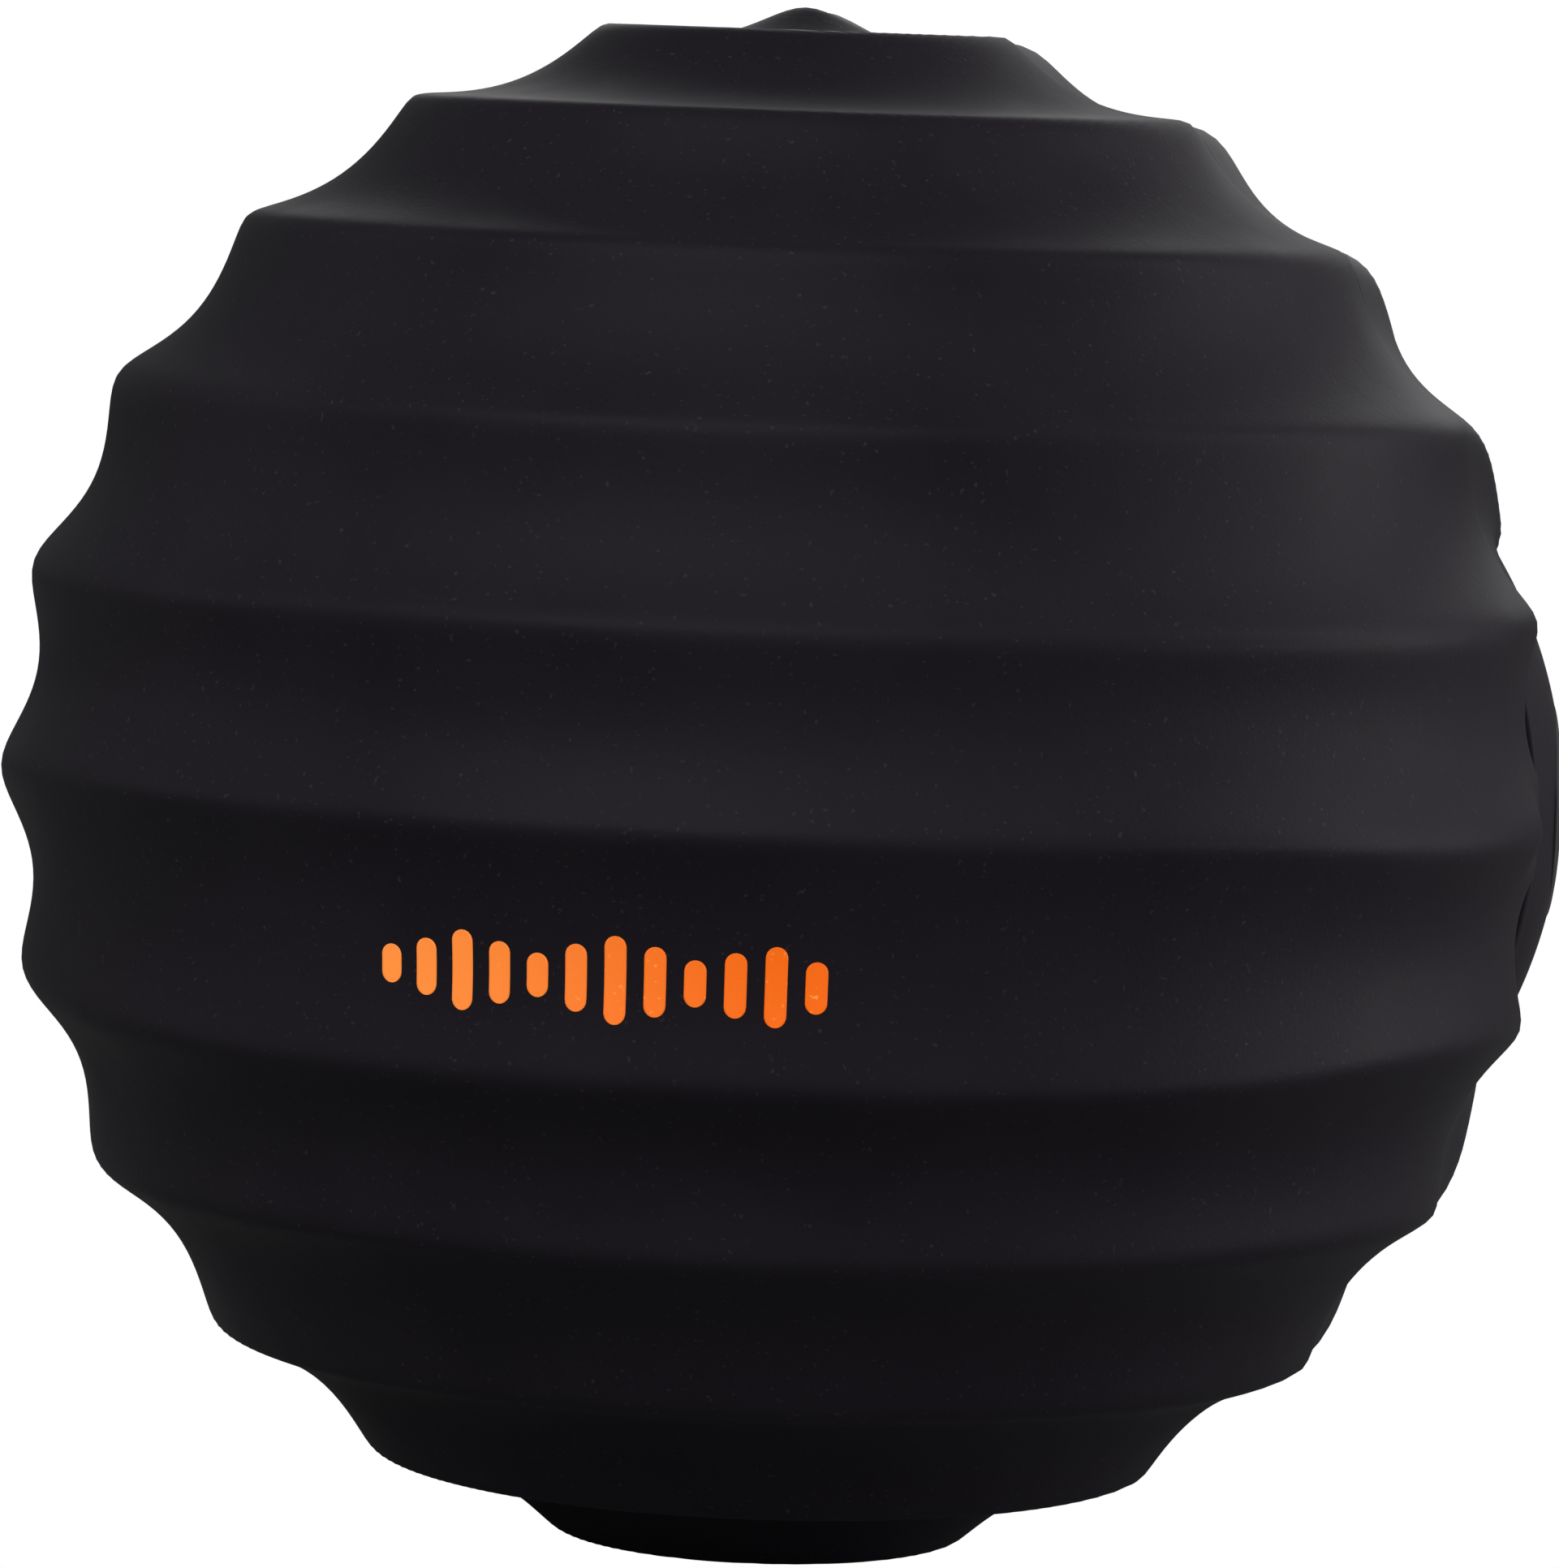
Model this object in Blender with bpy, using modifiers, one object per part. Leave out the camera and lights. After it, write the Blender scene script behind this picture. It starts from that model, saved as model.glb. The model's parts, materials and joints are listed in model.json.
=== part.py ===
"""Rechargeable vibrating massage ball.

Two silicone-covered half shells meet at a seam in the plane y = 0.  Inside are a motor with
eccentric weights on its shaft, two lithium cells, a control board and a charging board.

Frame: origin at the ball's centre, +Z along the axis of the front half's ridges, -Y towards the
front half, +X towards the power button.  All lengths are in metres.
"""
import math

import bmesh
import bpy
from mathutils import Matrix, Vector

MM = 0.001

# Driving dimensions of the ball.
BALL_RADIUS = 62.5 * MM
RIDGES_ROUND_BALL = 24
RIDGE_DEPTH = 0.035
CREST_ROUND = 0.20
COVER_INNER = 57.9 * MM
SHELL_OUTER = 57.4 * MM
SHELL_INNER = 55.0 * MM
SEAM_HALF_GAP = 0.8 * MM
LIP_THICKNESS = 1.2 * MM
LIP_INNER = 55.4 * MM
RIM_INNER = 53.0 * MM
RIM_OUTER = 55.1 * MM
RIM_FACE = 1.5 * MM
CLEAR = 0.3 * MM

# The two smooth pads on the rear half, which carry the power button and the charging port.
PAD_RADIUS = 0.990 * BALL_RADIUS
PAD_TILT = math.radians(14.0)
PAD_SPREAD = math.radians(20.5)
PAD_EDGE = math.radians(3.0)

# Fasteners and bosses that hold the two half shells together.
BOSS_OFFSET = 31.1 * MM
BOSS_RADIUS = 5.0 * MM
COUNTERBORE_FLOOR = 8.0 * MM
CASE_SCREW_RADIUS = 1.5 * MM
CLAMP_PILOT_RADIUS = 1.5 * MM
PLATE_HALF = 1.2 * MM
PLATE_RADIUS = 52.5 * MM
WINDOW_NEAR = 27.0 * MM
WINDOW_FAR = 40.0 * MM
WINDOW_HALF = 14.0 * MM
CASE_PILOT_DEPTH = 9.5 * MM
CASE_SCREW_LENGTH = 16.5 * MM
COUNTERBORE_RADIUS = 3.5 * MM

# Cutting tools start inside the part and run out past the ball.
CUT_START = 50.0 * MM
CUT_END = 70.0 * MM

# The motor stands along Z in the front half.
MOTOR_Y = -19.0 * MM
MOTOR_RADIUS = 14.0 * MM
MOTOR_HALF = 19.0 * MM
SHAFT_RADIUS = 1.6 * MM
SHAFT_BORE = 1.9 * MM
SADDLE_Z = 11.0 * MM
SADDLE_HALF_WIDTH = 4.0 * MM
SADDLE_BORE = 15.9 * MM
CLAMP_HALF_SPAN = 23.0 * MM
CLAMP_SCREW_X = 20.6 * MM
CLAMP_OUTER = 18.4 * MM
DAMPER_INNER = 14.3 * MM
DAMPER_OUTER = 15.6 * MM
MAGNET_INNER = 11.1 * MM
MAGNET_OUTER = 12.7 * MM
MAGNET_HALF = 14.0 * MM
MAGNET_GAP = 3.3 * MM
ARMATURE_RADIUS = 10.4 * MM
ARMATURE_HALF = 13.0 * MM
SHAFT_HALF = 33.0 * MM
HUB_RADIUS = 4.5 * MM
WEIGHT_RADIUS = 12.0 * MM
WEIGHT_LOW = 24.0 * MM
WEIGHT_HIGH = 32.0 * MM

# The cells lie along Z in the rear half.
CELL_X = 9.8 * MM
CELL_Y = 15.0 * MM
CELL_RADIUS = 9.2 * MM
CELL_HALF = 32.5 * MM
STRAP_SCREW_X = 23.3 * MM
TRAY_HALF_WIDTH = 20.5 * MM
TRAY_HALF_LENGTH = 31.0 * MM
TRAY_TOP = 13.0 * MM
STRAP_TOP = 26.0 * MM
EAR_HALF_SPAN = 26.0 * MM

# The boards stand square to the pads, at these distances from the ball's centre.
BOARD_LOW = 45.2 * MM
BOARD_HIGH = 46.8 * MM
BOARD_SCREW_X = 2.0 * MM
BOARD_SCREW_Y = 12.5 * MM
CHARGE_LOW = 46.4 * MM
CHARGE_HIGH = 48.0 * MM
CHARGE_SCREW_Y = 8.8 * MM
LED_RING = 12.0 * MM
LED_ANGLES = (-45.0, -15.0, 15.0, 45.0)
LED_HOLE = 1.5 * MM
LED_RADIUS = 1.2 * MM
LED_TIP = 60.6 * MM
LED_FOOT = 47.1 * MM
BOARD_PILOT = 1.2 * MM
CHARGE_PILOT = 1.1 * MM

# Button, bezel and charging port.
BUTTON_RADIUS = 6.6 * MM
BUTTON_HOLE = 7.0 * MM
BUTTON_FLANGE = 7.6 * MM
BEZEL_OUTER = 8.4 * MM
PORT_HOLE = 7.6 * MM
PLUG_RADIUS = 7.0 * MM
PLUG_RIM = 61.4 * MM
PLUG_UNDERSIDE = 60.0 * MM
BUTTON_SHOULDER = 53.6 * MM
BUTTON_FOOT = 52.5 * MM
BEZEL_FOOT = 57.8 * MM
SLOT_X = 2.1 * MM
SLOT_Y = 4.9 * MM

COVER_SEGMENTS = 40
COVER_RINGS = 48
TURN_STEPS = 32
SMALL_STEPS = 12

# Each material: colour, roughness, metallic.
MATERIALS = {
    "silicone": ((0.012, 0.011, 0.013), 0.55, 0.0),
    "housing": ((0.015, 0.015, 0.016), 0.45, 0.0),
    "gasket": ((0.006, 0.006, 0.006), 0.70, 0.0),
    "chassis": ((0.10, 0.10, 0.11), 0.50, 0.0),
    "screw_steel": ((0.50, 0.50, 0.52), 0.35, 1.0),
    "motor_steel": ((0.42, 0.42, 0.43), 0.40, 1.0),
    "magnet": ((0.06, 0.06, 0.06), 0.60, 0.3),
    "winding": ((0.45, 0.20, 0.08), 0.45, 0.8),
    "weight": ((0.55, 0.42, 0.20), 0.35, 1.0),
    "damper": ((0.02, 0.02, 0.02), 0.80, 0.0),
    "cell_wrap": ((0.03, 0.12, 0.35), 0.40, 0.0),
    "nickel": ((0.60, 0.58, 0.52), 0.30, 1.0),
    "board": ((0.01, 0.10, 0.04), 0.40, 0.0),
    "chip": ((0.02, 0.02, 0.02), 0.50, 0.0),
    "lens": ((0.80, 0.80, 0.82), 0.20, 0.0),
    "button": ((0.03, 0.03, 0.032), 0.30, 0.0),
    "wire_red": ((0.35, 0.02, 0.02), 0.50, 0.0),
    "wire_black": ((0.015, 0.015, 0.015), 0.50, 0.0),
}

WORLD = Matrix.Identity(4)
FRONT = Matrix.Rotation(math.radians(90.0), 4, "X")
REAR = Matrix.Rotation(math.radians(-90.0), 4, "X")
RIDGES_ALONG_X = Matrix.Rotation(math.radians(90.0), 3, "Y")


def axis_frame(x_axis, y_axis, z_axis):
    """A rotation whose columns are the three given directions."""
    return Matrix((x_axis, y_axis, z_axis)).transposed().to_4x4()


BUTTON_OUT = Vector((math.cos(PAD_TILT), math.sin(PAD_TILT), 0.0))
PORT_OUT = Vector((-math.cos(PAD_TILT), math.sin(PAD_TILT), 0.0))
UP = Vector((0.0, 0.0, 1.0))
BUTTON_FRAME = axis_frame(UP.cross(BUTTON_OUT), UP, BUTTON_OUT)
PORT_FRAME = axis_frame(-UP.cross(PORT_OUT), -UP, PORT_OUT)
MOTOR_FRAME = Matrix.Translation((0.0, MOTOR_Y, 0.0))


def clear_scene():
    for obj in list(bpy.data.objects):
        bpy.data.objects.remove(obj, do_unlink=True)


def new_collection(name):
    collection = bpy.data.collections.new(name)
    bpy.context.scene.collection.children.link(collection)
    return collection


def make_materials():
    made = {}
    for name, (colour, roughness, metallic) in MATERIALS.items():
        material = bpy.data.materials.new(name)
        material.use_nodes = True
        shader = material.node_tree.nodes["Principled BSDF"]
        shader.inputs["Base Color"].default_value = (*colour, 1.0)
        shader.inputs["Roughness"].default_value = roughness
        shader.inputs["Metallic"].default_value = metallic
        made[name] = material
    return made


clear_scene()
PARTS = new_collection("massage_ball")
CUTTERS = new_collection("cutters")
SURFACES = make_materials()


def add_object(name, data, frame, material):
    """Link a part when it has a material, or a hidden cutter when it has none."""
    obj = bpy.data.objects.new(name, data)
    obj.matrix_basis = frame
    if material is None:
        CUTTERS.objects.link(obj)
        obj.hide_render = True
        obj.display_type = "WIRE"
    else:
        PARTS.objects.link(obj)
        data.materials.append(SURFACES[material])
    return obj


def add_bmesh(name, bm, frame, material):
    mesh = bpy.data.meshes.new(name)
    bm.to_mesh(mesh)
    bm.free()
    mesh.shade_smooth()
    mesh.set_sharp_from_angle(angle=math.radians(40.0))
    return add_object(name, mesh, frame, material)


def box(name, low, high, frame=WORLD, material=None):
    """A box between two corners of the frame."""
    low = Vector(low)
    high = Vector(high)
    bm = bmesh.new()
    bmesh.ops.create_cube(bm, size=1.0, matrix=Matrix.Diagonal((*(high - low), 1.0)))
    return add_bmesh(name, bm, frame @ Matrix.Translation((low + high) / 2), material)


def cylinders(name, pieces, frame=WORLD, material=None, segments=SMALL_STEPS):
    """A closed cylinder for each (radius, x, y, start, end), along the frame's Z."""
    bm = bmesh.new()
    for radius, x, y, start, end in pieces:
        centre = Matrix.Translation((x, y, (start + end) / 2))
        bmesh.ops.create_cone(bm, cap_ends=True, segments=segments, radius1=radius,
                              radius2=radius, depth=end - start, matrix=centre)
    return add_bmesh(name, bm, frame, material)


def turned(name, profile, frame=WORLD, material=None, closed=False, steps=TURN_STEPS):
    """Turn a profile of (radius, height) points about the frame's Z."""
    edges = [(i, i + 1) for i in range(len(profile) - 1)]
    if closed:
        edges.append((len(profile) - 1, 0))
    mesh = bpy.data.meshes.new(name)
    mesh.from_pydata([(radius, 0.0, height) for radius, height in profile], edges, [])
    obj = add_object(name, mesh, frame, material)
    screw = obj.modifiers.new("turn", "SCREW")
    screw.axis = "Z"
    screw.steps = steps
    screw.render_steps = steps
    screw.use_merge_vertices = True
    screw.merge_threshold = 0.000001
    screw.use_smooth_shade = True
    return obj


def combine(obj, operation, *tools):
    for tool in tools:
        modifier = obj.modifiers.new(operation.lower(), "BOOLEAN")
        modifier.operation = operation
        modifier.solver = "EXACT"
        modifier.object = tool
    return obj


def pivot(name, location):
    """An empty on a joint's axis, for the pieces that move with it."""
    empty = bpy.data.objects.new(name, None)
    empty.matrix_basis = Matrix.Translation(location)
    PARTS.objects.link(empty)
    return empty


def attach(obj, empty):
    obj.parent = empty
    obj.matrix_parent_inverse = empty.matrix_basis.inverted()


def arc(radius, start, end, count):
    """Points of a sphere's outline between two angles measured from the turning axis."""
    points = []
    for i in range(count + 1):
        angle = start + (end - start) * i / count
        points.append((radius * math.sin(angle), radius * math.cos(angle)))
    return points


def angle_at_height(radius, height):
    return math.acos(height / radius)


# ---------------------------------------------------------------- covers


def ridge_radius(latitude):
    """Scallops between narrow rounded crests, one of them on the equator and each pole.

    from_crest runs from 0 on a crest to 1 in the middle of a valley.
    """
    cycle = latitude * RIDGES_ROUND_BALL / math.tau
    from_crest = 2 * abs(cycle - round(cycle))
    full = math.hypot(1.0, CREST_ROUND) - CREST_ROUND
    softened = (math.hypot(from_crest, CREST_ROUND) - CREST_ROUND) / full
    return BALL_RADIUS * (1 - RIDGE_DEPTH * (1 - (1 - softened) ** 2))


def pad_share(direction):
    """1 on a smooth pad, 0 away from it, with a rounded step between."""
    off = min(direction.angle(BUTTON_OUT), direction.angle(PORT_OUT))
    step = (PAD_SPREAD + PAD_EDGE / 2 - off) / PAD_EDGE
    step = max(0.0, min(1.0, step))
    return step * step * (3 - 2 * step)


def ridged_ball(name, turn, has_pads, material):
    """A whole ridged ball whose ridge axis is the turned Z."""
    bm = bmesh.new()
    bmesh.ops.create_uvsphere(bm, u_segments=COVER_SEGMENTS, v_segments=COVER_RINGS, radius=1.0)
    for vert in bm.verts:
        local = vert.co.normalized()
        radius = ridge_radius(math.asin(max(-1.0, min(1.0, local.z))))
        direction = turn @ local
        if has_pads:
            share = pad_share(direction)
            radius += (PAD_RADIUS - radius) * share
        vert.co = direction * radius
    return add_bmesh(name, bm, WORLD, material)


def cover_zone(name, frame):
    """All the space outside the shell on one side of the seam, with the cover's inward lip."""
    outside = 1.2 * BALL_RADIUS
    lip_top = SEAM_HALF_GAP + LIP_THICKNESS
    profile = [
        (0.0, outside),
        (outside, outside),
        (outside, SEAM_HALF_GAP),
        (LIP_INNER, SEAM_HALF_GAP),
        (LIP_INNER, lip_top),
    ]
    profile += arc(COVER_INNER, angle_at_height(COVER_INNER, lip_top), 0.0, 7)
    profile[-1] = (0.0, COVER_INNER)
    return turned(name, profile, frame)


def make_covers():
    front = ridged_ball("front_cover", Matrix.Identity(3), False, "silicone")
    combine(front, "INTERSECT", cover_zone("front_cover_zone", FRONT))
    rear = ridged_ball("rear_cover", RIDGES_ALONG_X, True, "silicone")
    combine(rear, "INTERSECT", cover_zone("rear_cover_zone", REAR))
    button_hole = (BEZEL_OUTER + CLEAR, 0.0, 0.0, CUT_START, CUT_END)
    led_holes = [(LED_HOLE, x, y, CUT_START, CUT_END) for x, y in led_places()]
    port_hole = (PORT_HOLE, 0.0, 0.0, CUT_START, CUT_END)
    combine(rear, "DIFFERENCE",
            cylinders("button_side_holes", [button_hole, *led_holes], BUTTON_FRAME),
            cylinders("port_side_hole", [port_hole], PORT_FRAME, segments=24))


# ---------------------------------------------------------------- shells


def boss_places():
    return [(sx * BOSS_OFFSET, sy * BOSS_OFFSET) for sx in (1, -1) for sy in (1, -1)]


def led_places():
    places = []
    for angle in LED_ANGLES:
        turn = math.radians(angle)
        places.append((LED_RING * math.cos(turn), LED_RING * math.sin(turn)))
    return places


def shell_blank(name, frame):
    """A solid half ball with the stepped rim that the cover's lip and the gasket sit on."""
    lip_seat = SEAM_HALF_GAP + LIP_THICKNESS + CLEAR
    profile = arc(SHELL_OUTER, 0.0, angle_at_height(SHELL_OUTER, lip_seat), 7)
    profile[0] = (0.0, SHELL_OUTER)
    profile += [(RIM_OUTER, lip_seat), (RIM_OUTER, RIM_FACE), (0.0, RIM_FACE)]
    return turned(name, profile, frame, "housing")


def shell_cavity(name, frame):
    step_height = 4.4 * MM
    profile = arc(SHELL_INNER, 0.0, angle_at_height(SHELL_INNER, step_height), 7)
    profile[0] = (0.0, SHELL_INNER)
    profile += [(RIM_INNER, 3.0 * MM), (RIM_INNER, -1.0 * MM), (0.0, -1.0 * MM)]
    return turned(name, profile, frame)


def make_shells():
    bosses = [(BOSS_RADIUS, x, y, -5 * MM, CUT_END) for x, y in boss_places()]

    front = shell_blank("front_shell", FRONT)
    front_cavity = shell_cavity("front_cavity", FRONT)
    combine(front_cavity, "DIFFERENCE", cylinders("front_bosses", bosses, FRONT))
    pilots = [(CASE_SCREW_RADIUS + CLEAR, x, y, 0.0, CASE_PILOT_DEPTH)
              for x, y in boss_places()]
    combine(front, "DIFFERENCE", front_cavity, cylinders("front_pilots", pilots, FRONT))

    rear = shell_blank("rear_shell", REAR)
    rear_cavity = shell_cavity("rear_cavity", REAR)
    board_posts = [(2.6 * MM, BOARD_SCREW_X, sy * BOARD_SCREW_Y, BOARD_HIGH + CLEAR, 60 * MM)
                   for sy in (1, -1)]
    charge_posts = [(2.2 * MM, BOARD_SCREW_X, sy * CHARGE_SCREW_Y, CHARGE_HIGH + CLEAR, 60 * MM)
                    for sy in (1, -1)]
    combine(rear_cavity, "DIFFERENCE",
            cylinders("rear_bosses", bosses, REAR),
            cylinders("board_posts", board_posts, BUTTON_FRAME, segments=12),
            cylinders("charge_posts", charge_posts, PORT_FRAME, segments=12))

    through = [(CASE_SCREW_RADIUS + CLEAR, x, y, 0.0, 12 * MM) for x, y in boss_places()]
    counterbores = [(COUNTERBORE_RADIUS, x, y, COUNTERBORE_FLOOR, CUT_END)
                    for x, y in boss_places()]
    button_side = [(BUTTON_HOLE, 0.0, 0.0, CUT_START, CUT_END)]
    button_side += [(LED_HOLE, x, y, CUT_START, CUT_END) for x, y in led_places()]
    pilot_end = 52.6 * MM
    board_pilots = [(BOARD_PILOT, BOARD_SCREW_X, sy * BOARD_SCREW_Y, 46 * MM, pilot_end)
                    for sy in (1, -1)]
    charge_pilots = [(CHARGE_PILOT, BOARD_SCREW_X, sy * CHARGE_SCREW_Y, 47 * MM, pilot_end)
                     for sy in (1, -1)]
    combine(rear, "DIFFERENCE", rear_cavity,
            cylinders("rear_through_holes", through, REAR),
            cylinders("rear_counterbores", counterbores, REAR),
            cylinders("button_side_openings", button_side, BUTTON_FRAME),
            cylinders("board_pilots", board_pilots, BUTTON_FRAME, segments=12),
            cylinders("charge_pilots", charge_pilots, PORT_FRAME, segments=12),
            box("socket_window", (-SLOT_X, -SLOT_Y, CUT_START), (SLOT_X, SLOT_Y, CUT_END),
                PORT_FRAME))


def make_seam_ring():
    """Gasket between the two rims, with a thin flange that fills the visible slot."""
    body = RIM_FACE - CLEAR
    flange = SEAM_HALF_GAP - CLEAR
    flange_outer = 59.2 * MM
    profile = [
        (RIM_INNER, body),
        (RIM_OUTER, body),
        (RIM_OUTER, flange),
        (flange_outer, flange),
        (flange_outer, -flange),
        (RIM_OUTER, -flange),
        (RIM_OUTER, -body),
        (RIM_INNER, -body),
    ]
    turned("seam_ring", profile, FRONT, "gasket", closed=True)


# ---------------------------------------------------------------- fasteners


def screw(name, place, head_radius, head_height, shank_radius, length, tip=0.6 * MM):
    """A pan-head screw with a socket, its head towards the place's +Z."""
    socket_radius = 0.5 * head_radius
    socket_floor = 0.4 * head_height
    profile = [
        (0.0, socket_floor),
        (socket_radius, socket_floor),
        (socket_radius, head_height),
        (0.8 * head_radius, head_height),
        (head_radius, 0.6 * head_height),
        (head_radius, 0.0),
        (shank_radius, 0.0),
        (shank_radius, tip - length),
        (0.5 * shank_radius, -length),
        (0.0, -length),
    ]
    return turned(name, profile, place, "screw_steel", steps=12)


def make_case_screws():
    underside = COUNTERBORE_FLOOR + CLEAR
    for number, (x, y) in enumerate(boss_places(), start=1):
        place = REAR @ Matrix.Translation((x, y, underside))
        screw(f"case_screw_{number}", place, 3.0 * MM, 2.5 * MM, CASE_SCREW_RADIUS,
              CASE_SCREW_LENGTH)


# ---------------------------------------------------------------- chassis and motor


def make_chassis():
    """Plate between the half shells, with two motor saddles on its front face."""
    plate = cylinders("chassis_plate", [(PLATE_RADIUS, 0.0, 0.0, -PLATE_HALF, PLATE_HALF)],
                      FRONT, "chassis", segments=48)
    for number, z in enumerate((SADDLE_Z, -SADDLE_Z), start=1):
        saddle = box(f"saddle_{number}",
                     (-CLAMP_HALF_SPAN, MOTOR_Y + CLEAR, z - SADDLE_HALF_WIDTH),
                     (CLAMP_HALF_SPAN, 0.0, z + SADDLE_HALF_WIDTH))
        combine(plate, "UNION", saddle)
    bore = cylinders("saddle_bore", [(SADDLE_BORE, 0.0, 0.0, -30 * MM, 30 * MM)], MOTOR_FRAME,
                     segments=24)
    case_holes = [(CASE_SCREW_RADIUS + CLEAR, x, y, -5 * MM, 5 * MM) for x, y in boss_places()]
    pilots = [(CLAMP_PILOT_RADIUS, sx * CLAMP_SCREW_X, sz * SADDLE_Z, 6.0 * MM, 30 * MM)
              for sx in (1, -1) for sz in (1, -1)]
    combine(plate, "DIFFERENCE", bore,
            cylinders("plate_holes", case_holes, FRONT),
            cylinders("clamp_pilots", pilots, FRONT, segments=12))
    for side, name in ((1, "right"), (-1, "left")):
        x_near = side * WINDOW_NEAR
        x_far = side * WINDOW_FAR
        window = box(f"{name}_window", (min(x_near, x_far), -5 * MM, -WINDOW_HALF),
                     (max(x_near, x_far), 5 * MM, WINDOW_HALF))
        combine(plate, "DIFFERENCE", window)


def make_motor_body():
    bore = SHAFT_BORE
    can = [
        (bore, MOTOR_HALF + 2 * MM),
        (5 * MM, MOTOR_HALF + 2 * MM),
        (5 * MM, MOTOR_HALF),
        (MOTOR_RADIUS, MOTOR_HALF),
        (MOTOR_RADIUS, -MOTOR_HALF),
        (13 * MM, -MOTOR_HALF),
        (13 * MM, 17.8 * MM),
        (bore, 17.8 * MM),
    ]
    turned("motor_can", can, MOTOR_FRAME, "motor_steel", closed=True, steps=24)
    bell_top = -MOTOR_HALF - CLEAR
    bell = [
        (bore, bell_top),
        (MOTOR_RADIUS, bell_top),
        (MOTOR_RADIUS, bell_top - 1.6 * MM),
        (5 * MM, bell_top - 1.6 * MM),
        (5 * MM, bell_top - 3.4 * MM),
        (bore, bell_top - 3.4 * MM),
    ]
    turned("motor_end_bell", bell, MOTOR_FRAME, "chassis", closed=True, steps=24)
    for side, name in ((1, "right"), (-1, "left")):
        ring = [(MAGNET_INNER, MAGNET_HALF), (MAGNET_OUTER, MAGNET_HALF),
                (MAGNET_OUTER, -MAGNET_HALF), (MAGNET_INNER, -MAGNET_HALF)]
        magnet = turned(f"motor_magnet_{name}", ring, MOTOR_FRAME, "magnet", closed=True, steps=24)
        near = side * MAGNET_GAP
        far = side * 20 * MM
        half = box(f"magnet_half_{name}", (min(near, far), -20 * MM, -20 * MM),
                   (max(near, far), 20 * MM, 20 * MM), MOTOR_FRAME)
        combine(magnet, "INTERSECT", half)


def make_rotor():
    rotor = pivot("rotor_axis", (0.0, MOTOR_Y, 0.0))
    edge = 0.4 * MM
    shaft = [(0.0, SHAFT_HALF), (SHAFT_RADIUS - edge, SHAFT_HALF),
             (SHAFT_RADIUS, SHAFT_HALF - edge), (SHAFT_RADIUS, edge - SHAFT_HALF),
             (SHAFT_RADIUS - edge, -SHAFT_HALF), (0.0, -SHAFT_HALF)]
    attach(turned("motor_shaft", shaft, MOTOR_FRAME, "screw_steel", steps=16), rotor)

    core = [(SHAFT_BORE, ARMATURE_HALF), (ARMATURE_RADIUS, ARMATURE_HALF),
            (ARMATURE_RADIUS, -ARMATURE_HALF), (SHAFT_BORE, -ARMATURE_HALF)]
    armature = turned("motor_armature", core, MOTOR_FRAME, "winding", closed=True, steps=20)
    attach(armature, rotor)

    for sign, name in ((1, "top"), (-1, "bottom")):
        low = min(sign * WEIGHT_LOW, sign * WEIGHT_HIGH)
        high = low + WEIGHT_HIGH - WEIGHT_LOW
        weight = cylinders(f"eccentric_weight_{name}", [(WEIGHT_RADIUS, 0.0, 0.0, low, high)],
                           MOTOR_FRAME, "weight", segments=24)
        half = box(f"weight_half_{name}", (-20 * MM, -0.5 * MM, low - MM),
                   (20 * MM, 20 * MM, high + MM), MOTOR_FRAME)
        hub = cylinders(f"weight_hub_{name}", [(HUB_RADIUS, 0.0, 0.0, low, high)], MOTOR_FRAME)
        bore = cylinders(f"weight_bore_{name}", [(SHAFT_BORE, 0.0, 0.0, low - MM, high + MM)],
                         MOTOR_FRAME)
        combine(weight, "DIFFERENCE", half)
        combine(weight, "UNION", hub)
        combine(weight, "DIFFERENCE", bore)
        attach(weight, rotor)


def make_motor_mounts():
    clamp_face = MOTOR_Y - CLEAR
    ear_face = clamp_face - 4 * MM
    for sign, name in ((1, "top"), (-1, "bottom")):
        low = sign * SADDLE_Z - SADDLE_HALF_WIDTH
        high = sign * SADDLE_Z + SADDLE_HALF_WIDTH
        ring = [(DAMPER_INNER, high), (DAMPER_OUTER, high), (DAMPER_OUTER, low),
                (DAMPER_INNER, low)]
        turned(f"motor_damper_{name}", ring, MOTOR_FRAME, "damper", closed=True, steps=24)

        clamp = box(f"motor_clamp_{name}", (-CLAMP_HALF_SPAN, ear_face, low),
                    (CLAMP_HALF_SPAN, clamp_face, high), WORLD, "chassis")
        arch = cylinders(f"clamp_arch_{name}", [(CLAMP_OUTER, 0.0, 0.0, low, high)], MOTOR_FRAME,
                         segments=24)
        behind = box(f"clamp_behind_{name}", (-30 * MM, clamp_face, low - MM),
                     (30 * MM, 10 * MM, high + MM))
        combine(arch, "DIFFERENCE", behind)
        bore = cylinders(f"clamp_bore_{name}", [(SADDLE_BORE, 0.0, 0.0, low - MM, high + MM)],
                         MOTOR_FRAME, segments=24)
        holes = [(1.8 * MM, sx * CLAMP_SCREW_X, sign * SADDLE_Z, 10 * MM, 40 * MM)
                 for sx in (1, -1)]
        combine(clamp, "UNION", arch)
        combine(clamp, "DIFFERENCE", bore,
                cylinders(f"clamp_holes_{name}", holes, FRONT, segments=12))

    number = 0
    for sx in (1, -1):
        for sz in (1, -1):
            number += 1
            place = FRONT @ Matrix.Translation((sx * CLAMP_SCREW_X, sz * SADDLE_Z,
                                                CLEAR - ear_face))
            screw(f"clamp_screw_{number}", place, 2.2 * MM, 2.0 * MM, 1.2 * MM, 15 * MM)


# ---------------------------------------------------------------- battery


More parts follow.
